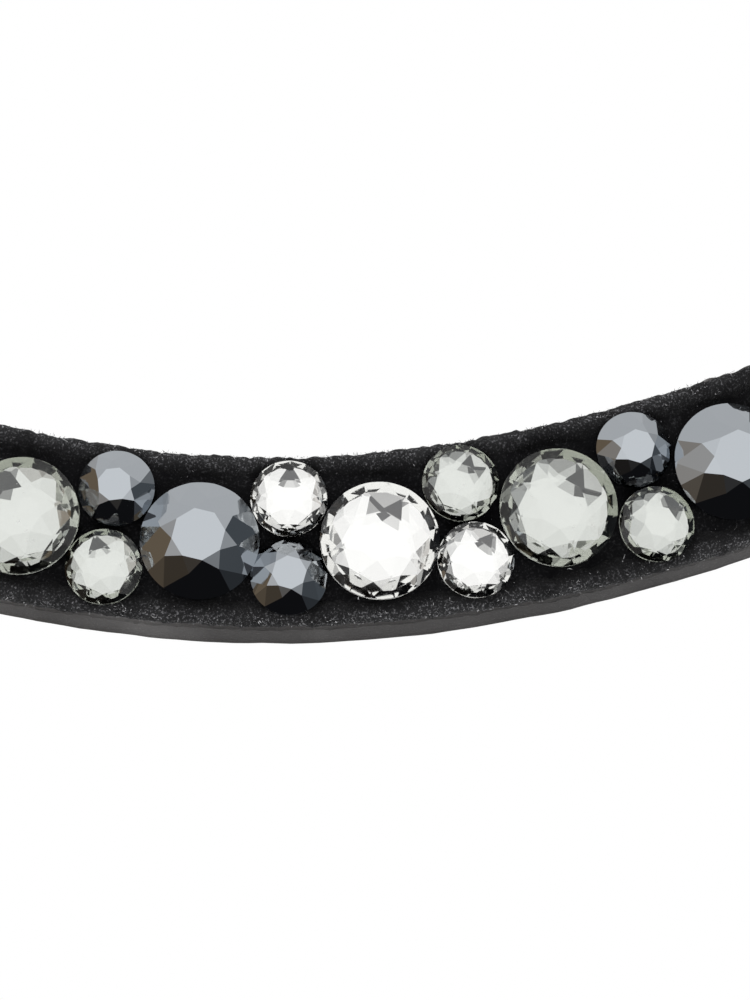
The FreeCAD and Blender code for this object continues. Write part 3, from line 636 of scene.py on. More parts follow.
@dataclass(frozen=True)
class Leather:
    """Vegetable-tanned leather, dyed and waxed: a low sheen over a fine pebbled grain, a little cloudy."""

    name: str
    colour: str = "151415"
    light: str = "2b2a2a"
    grain: float = 0.9
    pore: float = 0.35
    cloud: float = 14.0
    depth: float = 0.10
    roughness: float = 0.42

    def build(self) -> bpy.types.Material:
        """Makes the material, with its grain, pores and cloudy dye in millimetres."""
        made, tree, shader, spot = blank(self.name)
        cells = add_node(
            tree, "ShaderNodeTexVoronoi", {"Vector": spot, "Scale": 1 / (self.grain * MM)},
            feature="DISTANCE_TO_EDGE",
        ).outputs["Distance"]
        creases = add_node(tree, "ShaderNodeMapRange", {"Value": cells, 1: 0.0, 2: 0.22})
        pores = add_node(
            tree, "ShaderNodeTexNoise", {"Vector": spot, "Scale": 1 / (self.pore * MM), "Detail": 3.0}
        ).outputs["Fac"]
        dye = add_node(
            tree, "ShaderNodeTexNoise", {"Vector": spot, "Scale": 1 / (self.cloud * MM), "Detail": 4.0}
        ).outputs["Fac"]
        shade = add_node(tree, "ShaderNodeMapRange", {"Value": dye, 1: 0.42, 2: 0.72}).outputs[0]
        colour = add_node(
            tree, "ShaderNodeMix", {0: shade, 6: linear(self.colour), 7: linear(self.light)},
            data_type="RGBA",
        )
        tree.links.new(colour.outputs[2], shader.inputs["Base Color"])
        rough = add_node(
            tree, "ShaderNodeMapRange", {"Value": pores, 3: self.roughness - 0.07, 4: self.roughness + 0.12}
        )
        tree.links.new(rough.outputs[0], shader.inputs["Roughness"])
        height = add_node(tree, "ShaderNodeMath", {0: creases.outputs[0], 1: pores}, operation="ADD")
        bump = add_node(
            tree, "ShaderNodeBump",
            {"Height": height.outputs[0], "Distance": self.depth * MM, "Strength": 0.6},
        )
        tree.links.new(bump.outputs[0], shader.inputs["Normal"])
        return made


@dataclass(frozen=True)
class Napped:
    """Leather or cloth with a nap: black in its depth, with grey dust and lint on its tips."""

    name: str
    kind: Nap
    colour: str = "080809"
    worn: str = "202021"
    tip: str = "77777a"
    fleck: float = 0.22
    patch: float = 2.6
    lint: float = 0.5

    def build(self) -> bpy.types.Material:
        """Makes the material. The attribute "mark" is 1 where the nap is rubbed and dusty."""
        made, tree, shader, spot = blank(self.name)
        # one fleck of nap is about 0.1 mm, drawn twice as coarse so that it shows
        flecks = add_node(
            tree, "ShaderNodeTexNoise",
            {"Vector": spot, "Scale": 1 / (self.fleck * MM), "Detail": 4.0, "Roughness": 0.75},
        ).outputs["Fac"]
        patches = add_node(
            tree, "ShaderNodeTexNoise", {"Vector": spot, "Scale": 1 / (self.patch * MM), "Detail": 3.0}
        ).outputs["Fac"]
        rubbed = add_node(tree, "ShaderNodeAttribute", attribute_name="mark").outputs["Fac"]
        bright = add_node(tree, "ShaderNodeMapRange", {"Value": flecks, 1: 0.54, 2: 0.66}).outputs[0]
        patchy = add_node(
            tree, "ShaderNodeMapRange", {"Value": patches, 1: 0.35, 2: 0.65, 3: 0.25, 4: 1.0}
        ).outputs[0]
        dusty = add_node(tree, "ShaderNodeMath", {0: bright, 1: patchy}, operation="MULTIPLY").outputs[0]
        amount = add_node(
            tree, "ShaderNodeMapRange", {"Value": rubbed, 3: 0.10 * self.lint, 4: self.lint}
        ).outputs[0]
        share = add_node(tree, "ShaderNodeMath", {0: dusty, 1: amount}, operation="MULTIPLY").outputs[0]
        wear = add_node(
            tree, "ShaderNodeMath", {0: patchy, 1: rubbed}, operation="MULTIPLY", use_clamp=True
        ).outputs[0]
        ground = add_node(
            tree, "ShaderNodeMix", {0: wear, 6: linear(self.colour), 7: linear(self.worn)}, data_type="RGBA"
        ).outputs[2]
        colour = add_node(
            tree, "ShaderNodeMix", {0: share, 6: ground, 7: linear(self.tip)}, data_type="RGBA"
        )
        tree.links.new(colour.outputs[2], shader.inputs["Base Color"])
        shader.inputs["Roughness"].default_value = 0.95
        shader.inputs["Specular IOR Level"].default_value = 0.06
        shader.inputs["Sheen Weight"].default_value = 0.06 if self.kind is Nap.BUFFED else 0.02
        shader.inputs["Sheen Roughness"].default_value = 0.5
        depth = 0.22 if self.kind is Nap.BUFFED else 0.12
        bump = add_node(
            tree, "ShaderNodeBump", {"Height": flecks, "Distance": depth * MM, "Strength": 0.9}
        )
        tree.links.new(bump.outputs[0], shader.inputs["Normal"])
        return made


@dataclass(frozen=True)
class Lint:
    """Loose fibres and dust: dull, and anything from black to pale grey from one to the next."""

    name: str
    dark: str = "161617"
    pale: str = "b4b4b6"
    clump: float = 0.45

    def build(self) -> bpy.types.Material:
        """Makes the material, whose shade changes from one clump of fibres to the next."""
        made, tree, shader, spot = blank(self.name)
        clumps = add_node(
            tree, "ShaderNodeTexNoise", {"Vector": spot, "Scale": 1 / (self.clump * MM), "Detail": 1.0}
        ).outputs["Fac"]
        share = add_node(tree, "ShaderNodeMapRange", {"Value": clumps, 1: 0.38, 2: 0.66}).outputs[0]
        colour = add_node(
            tree, "ShaderNodeMix", {0: share, 6: linear(self.dark), 7: linear(self.pale)}, data_type="RGBA"
        )
        tree.links.new(colour.outputs[2], shader.inputs["Base Color"])
        shader.inputs["Roughness"].default_value = 0.9
        shader.inputs["Specular IOR Level"].default_value = 0.1
        return made


@dataclass(frozen=True)
class Metal:
    """Cast and polished metal: mirror-like, with a faint ripple and fine wiping marks."""

    name: str
    colour: str = "c9c8c4"
    wipe: float = 1.6
    ripple: float = 0.02
    roughness: float = 0.12

    def build(self) -> bpy.types.Material:
        """Makes the material, with its marks and ripple in millimetres."""
        made, tree, shader, spot = blank(self.name)
        shader.inputs["Metallic"].default_value = 1.0
        shader.inputs["Base Color"].default_value = linear(self.colour)
        wipes = add_node(
            tree, "ShaderNodeTexNoise", {"Vector": spot, "Scale": 1 / (self.wipe * MM), "Detail": 5.0}
        ).outputs["Fac"]
        rough = add_node(
            tree, "ShaderNodeMapRange", {"Value": wipes, 3: self.roughness * 0.6, 4: self.roughness * 1.7}
        )
        tree.links.new(rough.outputs[0], shader.inputs["Roughness"])
        bump = add_node(
            tree, "ShaderNodeBump", {"Height": wipes, "Distance": self.ripple * MM, "Strength": 0.5}
        )
        tree.links.new(bump.outputs[0], shader.inputs["Normal"])
        return made


@dataclass(frozen=True)
class Crystal:
    """Lead-free cut crystal, clear through its body, with dust that catches on its facets."""

    name: str
    tint: str = "ffffff"
    index: float = 1.56
    speck: float = 0.5

    def build(self) -> bpy.types.Material:
        """Makes the material, with specks of dust that dull the facets."""
        made, tree, shader, spot = blank(self.name)
        shader.inputs["Base Color"].default_value = linear(self.tint)
        shader.inputs["Transmission Weight"].default_value = 1.0
        shader.inputs["IOR"].default_value = self.index
        # a speck of dust is under 0.1 mm, drawn coarser so that it shows
        specks = add_node(
            tree, "ShaderNodeTexNoise", {"Vector": spot, "Scale": 1 / (self.speck * MM), "Detail": 2.0}
        ).outputs["Fac"]
        rough = add_node(
            tree, "ShaderNodeMapRange", {"Value": specks, 1: 0.70, 2: 0.76, 3: 0.0, 4: 0.35}
        )
        tree.links.new(rough.outputs[0], shader.inputs["Roughness"])
        return made


@dataclass(frozen=True)
class Coating:
    """A thin even film, such as vacuum-laid metal or edge dye: smooth, with faint smudges from handling."""

    name: str
    colour: str = "f4f4f2"
    roughness: float = 0.02
    smudge: float = 0.05
    smudge_size: float = 1.5

    def build(self) -> bpy.types.Material:
        """Makes the material, a little rougher where it is smudged."""
        made, tree, shader, spot = blank(self.name)
        shader.inputs["Metallic"].default_value = 1.0
        shader.inputs["Base Color"].default_value = linear(self.colour)
        smudges = add_node(
            tree, "ShaderNodeTexNoise",
            {"Vector": spot, "Scale": 1 / (self.smudge_size * MM), "Detail": 4.0},
        ).outputs["Fac"]
        rough = add_node(
            tree, "ShaderNodeMapRange",
            {"Value": smudges, 1: 0.4, 2: 0.8, 3: self.roughness, 4: self.roughness + self.smudge},
        )
        tree.links.new(rough.outputs[0], shader.inputs["Roughness"])
        return made


@dataclass(frozen=True)
class Finishes:
    """Every finish on the bridle, made once."""

    leather: bpy.types.Material
    keeper: bpy.types.Material
    padding: bpy.types.Material
    lining: bpy.types.Material
    nubuck: bpy.types.Material
    velvet: bpy.types.Material
    fibre: bpy.types.Material
    thread: bpy.types.Material
    punched: bpy.types.Material
    steel: bpy.types.Material
    alloy: bpy.types.Material
    foil: bpy.types.Material
    clear: bpy.types.Material
    smoke: bpy.types.Material
    smoke_foil: bpy.types.Material
    jet: bpy.types.Material

    @classmethod
    def make(cls) -> Finishes:
        """Makes the materials."""
        return cls(
            # black bridle butt, waxed: nearly black, with a soft low sheen
            leather=Leather("bridle_leather").build(),
            # the same leather cut thin and burnished on a block: tighter grain, a little shinier
            keeper=Leather("keeper_leather", grain=0.7, roughness=0.38).build(),
            # soft calf over foam: broad loose creases and a duller face
            padding=Leather("soft_padding_leather", grain=1.6, depth=0.25, roughness=0.5).build(),
            # smooth drum-dyed lining in dark grey, lightened all over as painted light for the light
            # bounced up onto its rolled lower edge
            lining=Leather(
                "smooth_lining_leather_painted_light", colour="3a3939", light="4c4b4b", grain=0.45, depth=0.04,
                roughness=0.5,
            ).build(),
            # grain leather sanded to a nap: black, greyed on the rims by rubbing and dust
            nubuck=Napped("black_nubuck", Nap.BUFFED, lint=1.0).build(),
            # woven pile: takes the light in and shows only a few grey flecks
            velvet=Napped("black_velvet", Nap.PILE, colour="050506", lint=0.5).build(),
            # fibres raised by the sanding: they catch the light along the rims
            fibre=Lint("nubuck_lint").build(),
            # waxed linen: grey against the leather, so each stitch reads
            thread=Leather("waxed_thread", colour="5c5c5b", light="858583", grain=0.25, depth=0.06).build(),
            # painted shadow: black with no shine, standing in for the shade inside a punched hole so that
            # it reads as depth
            punched=Coating("punched_hole_shadow", colour="050505", roughness=0.9).build(),
            # cast stainless steel, polished: cool mirror with faint wiping marks
            steel=Metal("polished_stainless_steel").build(),
            # cast copper alloy, polished: warm yellow against the steel
            alloy=Metal("polished_copper_alloy", colour="c9a36b").build(),
            # silver foil under a stone: sends the light back up through the facets
            foil=Coating("mirror_foil").build(),
            # colourless crystal: white table, sharp patches of light and dark round it
            clear=Crystal("clear_crystal").build(),
            # crystal with a smoke dye: the same, a step greyer
            smoke=Crystal("smoke_crystal", tint="dde0dd").build(),
            # smoke lacquer over silver: darkens the ring of a smoke stone
            smoke_foil=Coating("smoke_mirror_foil", colour="ced0c8").build(),
            # dark metal laid over black crystal: each facet mirrors one part of the room
            jet=Coating("jet_metal_coat", colour="b3b8bd", roughness=0.03).build(),
        )


# The browband ---------------------------------------------------------------------------------


@dataclass(frozen=True)
class StoneCut:
    """A flat-backed round stone: table, stars, kites and girdle facets over a bevelled foil back.

    The table, middle and back are shares of the radius, the girdle is a share of the height, and the
    bevel is a share of the girdle's height.
    """

    radius: float
    height: float
    table: float = 0.42
    middle: float = 0.72
    girdle: float = 0.46
    back: float = 0.76
    bevel: float = 0.45
    rounds: int = 64

    def _facet(self, bm: bmesh.types.BMesh, corners: Sequence[Vector]) -> None:
        """Grinds one facet: cuts the stone by a plane and closes it.

        Args:
            bm: The stone.
            corners: Three points of the plane.
        """
        a, b, c = corners
        way = (b - a).cross(c - a).normalized()
        if way.dot(a - Vector((0, 0, self.height * 0.4))) < 0:
            way.negate()
        geometry = bm.verts[:] + bm.edges[:] + bm.faces[:]
        cut = bmesh.ops.bisect_plane(
            bm, geom=geometry, plane_co=a, plane_no=way, clear_outer=True, dist=1e-4 * self.radius
        )
        rim = [e for e in cut["geom_cut"] if isinstance(e, bmesh.types.BMEdge)]
        if len(rim) > 2:
            bmesh.ops.contextual_create(bm, geom=rim)

    def _spot(self, angle: float, share: float, level: float) -> Vector:
        """A point at an angle in degrees, a share of the radius and a level."""
        turn = math.radians(angle)
        return Vector((math.cos(turn) * share * self.radius, math.sin(turn) * share * self.radius, level))

    def build(self) -> bpy.types.Mesh:
        """Cuts the stone.

        Returns:
            Its mesh. The flat back takes the second material and the bevel round it the third.
        """
        bm = bmesh.new()
        bmesh.ops.create_cone(
            bm, cap_ends=True, cap_tris=False, segments=self.rounds, radius1=self.radius,
            radius2=self.radius, depth=self.height, matrix=Matrix.Translation((0, 0, self.height / 2)),
        )
        edge = self.girdle * self.height
        share = (self.middle * math.cos(math.radians(22.5)) - self.table) / (1 - self.table)
        waist = self.height - share * (self.height - edge)
        for n in range(8):
            kite = 45.0 * n
            star = kite + 22.5
            side = self._spot(kite, self.table, self.height)
            low = self._spot(kite, 1.0, edge)
            self._facet(bm, (side, low, side + self._spot(kite + 90.0, 1.0, 0.0)))
            far = self._spot(kite + 45.0, self.table, self.height)
            self._facet(bm, (side, far, self._spot(star, self.middle, waist)))
        for n in range(8):
            star = 45.0 * n + 22.5
            top = self._spot(star, self.middle, waist)
            below = self._spot(star, 1.0, edge)
            for turn in (-22.5, 22.5):
                self._facet(bm, (top, below, self._spot(star + turn, 1.0, edge)))
        chamfer = edge * self.bevel
        for n in range(16):
            angle = 22.5 * n + 11.25
            high = self._spot(angle, 1.0, chamfer)
            flat = self._spot(angle, self.back, 0.0)
            self._facet(bm, (high, flat, high + self._spot(angle + 90.0, 1.0, 0.0)))
        bm.normal_update()
        for face in bm.faces:
            if face.normal.z < -0.95:
                face.material_index = 1
            elif face.normal.z < -0.2:
                face.material_index = 2
        mesh = bpy.data.meshes.new("stone_cut")
        bm.to_mesh(mesh)
        bm.free()
        return mesh


@dataclass
class Browband:
    """The dipped browband: lining, channelled nubuck face, inlay, stones and end loops.

    Widths are half the whole, levels are out from the band's back, and a stone's size is its radius and
    its height. The clear and smoke stones are cut thinner than the jet ones, by the crystal share. The
    pitch, phase and spread say where the large stones and the pairs between them come.
    """

    finishes: Finishes
    line: BrowLine
    half_width: float = 8.1
    lining_low: float = -8.9
    lining_high: float = 7.9
    lining_thick: float = 3.2
    shoulder: float = 4.9
    crest: float = 5.75
    floor: float = 4.95
    inlay_half: float = 6.7
    inlay_level: float = 5.3
    stone_seat: float = 5.52
    large_stone: tuple[float, float] = (5.55, 3.9)
    small_stone: tuple[float, float] = (3.58, 2.6)
    crystal_share: float = 0.84
    stone_level: float = 6.6
    first_stone: int = -10
    last_stone: int = 9
    pitch: float = 16.9
    phase: float = 10.96
    spread: float = 3.71
    nap_density: float = 14.0
    rng: random.Random = field(default_factory=lambda: random.Random(11))

    @staticmethod
    def _glued_at(number: int) -> float:
        """How far above the channel's middle a large stone is glued: given one by one, most a little below
        it.
        """
        return {-1: -0.5, 0: -0.75, 1: 0.0, 2: -0.1}.get(number, -0.3)

    def _channel(self) -> Outline:
        """Draws the face's section.

        Returns:
            Its outline: leather walls, rolled rims and a shallow channel between them.
        """
        half = self.half_width
        side: Outline = [(half - 0.4, 2.8), (half - 0.02, 3.2), (half, 4.2)]
        for step in range(6):
            angle = math.radians(90.0 * step / 5)
            rise = (self.crest - self.shoulder) * math.sin(angle)
            side.append((half - 1.0 + 0.95 * math.cos(angle), self.shoulder + rise))
        for step in range(1, 6):
            share = step / 5
            side.append((half - 1.0 - 2.2 * share, self.crest - (self.crest - self.floor) * eased(share)))
        side.append((2.5, self.floor))
        return side + [(-across, out) for across, out in reversed(side)]

    def _rubbed(self, across: float, out: float) -> float:
        """Says how rubbed and dusty the nap is.

        Args:
            across: How far across the band.
            out: How far out from the band's back.

        Returns:
            From 0 in the channel to 1 on the rims, and -1 on the bare leather walls.
        """
        if out < self.shoulder - 0.5 and abs(across) > self.half_width - 0.5:
            return -1.0
        return eased((abs(across) - self.half_width + 2.2) / 2.0)

    def lining(self) -> None:
        """The smooth leather lining, rolled over at its edges so that it shows below the face."""
        half = (self.lining_high - self.lining_low) / 2
        middle = (self.lining_high + self.lining_low) / 2
        rounded = rounded_outline(half, -0.2, self.lining_thick + 0.6, 1.85, 8)
        outline = [(across + middle, out) for across, out in rounded]
        bm = sweep(lambda share: outline, self.line.run(-self.line.reach + 0.2, self.line.reach - 0.2, 1.2))
        roughen(bm, 0.12, 3.0, 4.0)
        piece = new_object("browband_lining_rolled", bm, 40.0)
        # the lining's grey is partly painted light, standing in for the bounce onto its rolled lower edge
        settle(piece, self.finishes.lining, nodes=["browband_lining"])

    def face(self) -> None:
        """The nubuck face with its rims, a little uneven as the nap is, and its bare leather edge."""
        outline = self._channel()
        frames = self.line.run(-self.line.reach + 0.2, self.line.reach - 0.2, 0.4)
        bm = sweep(lambda share: outline, frames, self._rubbed)
        mark = bm.verts.layers.float["mark"]
        for polygon in bm.faces:
            polygon.material_index = 1 if min(v[mark] for v in polygon.verts) < -0.5 else 0
        roughen(bm, 0.24, 0.7, 1.0)
        roughen(bm, 0.14, 4.0, 2.0)
        piece = new_object("browband_nubuck_face", bm, 60.0)
        piece.data.materials.append(self.finishes.nubuck)
        # the bare leather walls take the lining finish, whose grey is partly painted light
        piece.data.materials.append(self.finishes.lining)
        settle(piece, self.finishes.nubuck, nodes=["browband_face"])

    def inlay(self) -> None:
        """The velvet strip that the stones are set on."""
        outline = rounded_outline(self.inlay_half, self.inlay_level - 0.55, self.inlay_level, 0.25, 2)
        frames = self.line.run(-self.line.reach + 6.2, self.line.reach - 6.2, 1.0)
        bm = sweep(lambda share: outline, frames, lambda across, out: 0.15)
        roughen(bm, 0.08, 0.8, 3.0)
        piece = new_object("browband_velvet_inlay", bm, 60.0)
        settle(piece, self.finishes.velvet, nodes=["browband_inlay"])

    def _fibre(self, bend: float) -> bmesh.types.BMesh:
        """Shapes one fibre of nap, 1 mm long: a narrow strip that tapers and bends over.

        Args:
            bend: How far its tip bends over, in millimetres.

        Returns:
            The fibre.
        """
        bm = bmesh.new()
        bmesh.ops.create_grid(bm, x_segments=1, y_segments=4, size=0.5)
        for vert in bm.verts:
            share = vert.co.y + 0.5
            width = 0.06 * (1 - 0.7 * share)
            over = bend * math.sin(2.4 * share * share)
            vert.co = Vector((vert.co.x * width, over, math.sin(2.0 * share) / 2))
        return bm

    def _fibre_place(self, frame: Frame, across: float, out: float, length: float, lean: float) -> Matrix:
        """Plants a fibre, which leans away at random.

        Args:
            frame: The place on the band.
            across: How far across the band.
            out: How far out from the band's back.
            length: The fibre's length.
            lean: How much it may lean, as a slope.

        Returns:
            Where it stands.
        """
        spin = self.rng.uniform(0, 2 * math.pi)
        up = (frame.out + frame.across * (0.5 * math.copysign(1, across) + self.rng.gauss(0, lean))
              + frame.along * self.rng.gauss(0, lean)).normalized()
        side = up.orthogonal().normalized()
        side = Matrix.Rotation(spin, 3, up) @ side
        turn = Matrix((side, up.cross(side), up)).transposed().to_4x4()
        place = Matrix.Translation(frame.at(across, out)) @ turn
        return place @ Matrix.Diagonal((1.0, length, length, 1.0))

    def _rim_fibres(self, reach: float, count: int) -> list[Matrix]:
        """Plants short fibres along both rims, thickest on the crest.

        Args:
            reach: How far from the middle they go.
            count: How many there are on each rim.

        Returns:
            Where they stand.
        """
        rim = [p for p in self._channel() if p[0] > 0 and p[1] >= self.shoulder - 0.2]
        places = []
        for sign in (1.0, -1.0):
            for _ in range(count):
                frame = self.line.at(self.rng.uniform(-reach, reach))
                spot = min(len(rim) - 1.001, abs(self.rng.gauss(0.0, 3.2)))
                first, share = int(spot), spot - int(spot)
                across = rim[first][0] * (1 - share) + rim[first + 1][0] * share
                out = rim[first][1] * (1 - share) + rim[first + 1][1] * share
                length = 0.14 + 0.42 * self.rng.random() ** 2
                places.append(self._fibre_place(frame, sign * across, out - 0.04, length, 0.7))
        return places

    def _channel_fibres(self, reach: float, count: int) -> list[Matrix]:
        """Scatters loose fibres over the inlay.

        Args:
            reach: How far from the middle they go.
            count: How many there are.

        Returns:
            Where they lie.
        """
        places = []
        for _ in range(count):
            frame = self.line.at(self.rng.uniform(-reach, reach))
            across = self.rng.uniform(-self.inlay_half, self.inlay_half)
            length = 0.1 + 0.35 * self.rng.random() ** 3
            places.append(self._fibre_place(frame, across, self.inlay_level - 0.05, length, 1.2))
        return places

    def _stray_hairs(self, reach: float, count: int) -> list[Matrix]:
        """Adds long stray hairs beside the rims, more of them below than above.

        Args:
            reach: How far from the middle they go.
            count: How many there are.

        Returns:
            Where they stand.
        """
        places = []
        for _ in range(count):
            frame = self.line.at(self.rng.uniform(-reach, reach))
            across = self.rng.choice((-1.0, -1.0, 1.0)) * self.rng.uniform(5.4, self.half_width - 0.2)
            length = self.rng.uniform(0.9, 1.8)
            places.append(self._fibre_place(frame, across, self.crest - 0.3, length, 1.6))
        return places

    def nap(self) -> None:
        """The nap's loose fibres: short ones on the rims, few in the channel, and long stray hairs."""
        reach = self.line.reach - 1.0
        count = round(2 * reach * self.nap_density)
        short = self._rim_fibres(reach, count) + self._channel_fibres(reach, round(count * 0.5))
        fibres = scattered("browband_nap_fibres", self._fibre(0.3), short)
        settle(fibres, self.finishes.fibre)
        hairs = scattered("browband_stray_hairs", self._fibre(0.45), self._stray_hairs(reach, 110))
        settle(hairs, self.finishes.fibre)

    def _stone_place(self, place: float, across: float, spin: float) -> Matrix:
        """Sets a stone with its table outward, a touch off true as by hand.

        Args:
            place: The place on the band's line.
            across: How far across the band.
            spin: The turn of its facets, in degrees.

        Returns:
            Where it sits.
        """
        frame = self.line.at(place + self.rng.gauss(0, 0.08))
        out = (frame.out + frame.across * self.rng.gauss(0, 0.02) + frame.along * self.rng.gauss(0, 0.02))
        out.normalize()
        along = (frame.along - out * frame.along.dot(out)).normalized()
        turn = Matrix((along, out.cross(along), out)).transposed().to_4x4()
        spot = frame.at(across + self.rng.gauss(0, 0.06), self.stone_seat)
        return Matrix.Translation(spot) @ turn @ Matrix.Rotation(math.radians(spin), 4, "Z")

    def stones(self) -> None:
        """Every stone, in six pieces by size and colour, in the same run as the CAD frame."""
        colours = ("clear", "smoke", "jet")
        sizes = ("large", "small")
        groups: dict[tuple[str, str], list[Matrix]] = {(s, c): [] for s in sizes for c in colours}
        for number in range(self.first_stone, self.last_stone + 1):
            colour = colours[number % 3]
            following = colours[(number + 1) % 3]
            distance = self.phase + number * self.pitch
            place = self.line.place_for(distance, self.stone_level)
            across = self._glued_at(number)
            groups["large", colour].append(self._stone_place(place, across, self.rng.uniform(0, 45)))
            if number == self.last_stone:
                continue
            between = self.line.place_for(distance + self.pitch / 2, self.stone_level)
            # the pair after the middle stone sits a little high
            high = 0.2 if number == 0 else 0.0
            for kind, across in ((following, self.spread), (colour, -self.spread)):
                place = self._stone_place(between, across + high, self.rng.uniform(0, 45))
                groups["small", kind].append(place)
        foil = self.finishes.foil
        layers = {
            "clear": (self.finishes.clear, foil, foil),
            "smoke": (self.finishes.smoke, foil, self.finishes.smoke_foil),
            "jet": (self.finishes.jet, foil, foil),
        }
        for (size, colour), places in groups.items():
            radius, height = self.large_stone if size == "large" else self.small_stone
            if colour == "jet":
                cut = StoneCut(radius, height, table=0.45, middle=0.66, girdle=0.30)
            else:
                cut = StoneCut(radius, height * self.crystal_share)
            template = cut.build()
            bm = bmesh.new()
            for matrix in places:
                copy = template.copy()
                copy.transform(matrix)
                bm.from_mesh(copy)
                bpy.data.meshes.remove(copy)
            bpy.data.meshes.remove(template)
            piece = new_object(f"{size}_{colour}_stones", bm)
            for layer in layers[colour]:
                piece.data.materials.append(layer)
            settle(piece, layers[colour][0], nodes=[f"crystals_{size}_{colour}"])

    def loops(self) -> None:
        """The loop at each end that the headstall's straps pass through."""
        for word, _ in SIDES:
            piece = softened(f"browband_loop_{word}", 0.7, 3)
            settle(piece, self.finishes.leather, nodes=[f"browband_loop_{word}"])

    def build(self) -> None:
        """Builds the whole browband."""
        self.lining()
        self.face()
        self.inlay()
        self.stones()
        self.nap()
        self.loops()


# The rest of the bridle -----------------------------------------------------------------------


@dataclass
class Stitching:
    """Rows of saddle stitches in waxed thread."""

    finishes: Finishes
    pitch: float = 3.4
    length: float = 2.7
    width: float = 0.75
    height: float = 0.55
    skew: float = 6.0
    rows: list[list[Frame]] = field(default_factory=list)

    def row(
        self, at: Callable[[float], Frame], first: float, last: float, across: float, out: float
    ) -> None:
        """Adds a row.

        Args:
            at: Gives the frame at a place on the strap.
            first: The place to start at.
            last: The place to end at.
            across: How far across the strap the row lies.
            out: How far out from the strap's line.
        """
        count = max(1, round(abs(last - first) / self.pitch))
        places = [first + (last - first) * (n + 0.5) / count for n in range(count)]
        row = []
        for place in places:
            frame = at(place)
            row.append(frame._replace(point=frame.at(across, out)))
        self.rows.append(row)

    def build(self, name: str, slot: str = "bridle_leather") -> None:
        """Makes every row as one piece.

        Args:
            name: The piece's name.
            slot: Not used.
        """
        bm = bmesh.new()
        bmesh.ops.create_uvsphere(bm, u_segments=6, v_segments=4, radius=0.5)
        bmesh.ops.scale(bm, vec=Vector((self.length, self.width, self.height)), verts=bm.verts)
        skew = Matrix.Rotation(math.radians(self.skew), 4, "Z")
        places = [Matrix.Translation(f.point) @ f.facing() @ skew for row in self.rows for f in row]
        settle(scattered(name, bm, places), self.finishes.thread)


@dataclass
class Headpiece:
    """The crown leather with its pad, the cheekpieces and the throatlash."""

    finishes: Finishes
    line: HeadLine = field(default_factory=HeadLine)
    pad_half: float = 23.0
    pad_thick: float = 6.0
    pad_end: float = 100.0
    crown_face: float = 12.4
    cheek_face: float = 9.3
    cheek_lane: float = -10.0
    throat_lane: float = 13.0
    cheek_bar: float = 205.0
    throat_bar: float = 188.0
    hole_pitch: float = 14.0

    def pad(self) -> None:
        """The crown's pad: soft leather over foam."""
        middle = partial(self.line.at, lane=0.0)
        bm = stuffed_strip(middle, self.pad_end, self.pad_half, self.pad_thick)
        roughen(bm, 0.35, 9.0, 5.0)
        piece = new_object("crown_pad_stuffed", bm, 60.0)
        settle(piece, self.finishes.padding, nodes=["crown_pad"])

    def straps(self) -> None:
        """The leather straps, with their edges rounded and rubbed smooth."""
        for node in ("crown_leather", "cheekpiece_left", "cheekpiece_right", "throatlash"):
            piece = softened(node, 0.8, 3)
            settle(piece, self.finishes.leather, nodes=[node])

    def holes(self) -> None:
        """Painted shadows for the punched holes above the buckles on the crown's tails: flat black discs on
        the leather.
        """
        bm = bmesh.new()
        bmesh.ops.create_circle(bm, cap_ends=True, segments=14, radius=1.0)
        bmesh.ops.scale(bm, vec=Vector((1.7, 1.3, 1.0)), verts=bm.verts)
        places = []
        for _, sign in SIDES:
            for lane, bar in ((self.cheek_lane, self.cheek_bar), (self.throat_lane, self.throat_bar)):
                for number in (1, 2):
                    frame = self.line.at(bar - number * self.hole_pitch, lane, sign)
                    # a hair above the leather, so that the two faces don't fight
                    spot = frame.at(0.0, self.crown_face + 0.06)
                    places.append(Matrix.Translation(spot) @ frame.facing())
        settle(scattered("tail_hole_painted_shadows", bm, places), self.finishes.punched)

    def stitches(self) -> None:
        """Saddle stitching along the crown and both edges of the cheekpieces."""
        rows = Stitching(self.finishes)
        crown_half, crown_reach = 16.0, 108.0
        for across in (-crown_half, crown_half):
            rows.row(
                lambda place: self.line.at(place, 0.5), -crown_reach, crown_reach, across,
                self.crown_face + 0.1,
            )
        cheek_half, below_runner, above_fold = 5.8, 252.0, 14.0
        for _, sign in SIDES:
            at_cheek = partial(self.line.at, lane=self.cheek_lane, sign=sign)
            for across in (-cheek_half, cheek_half):
                rows.row(at_cheek, below_runner, self.line.length - above_fold, across, self.cheek_face)
        rows.build("headpiece_stitching")

    def build(self) -> None:
        """Builds the headpiece."""
        self.pad()
        self.straps()
        self.holes()
        self.stitches()


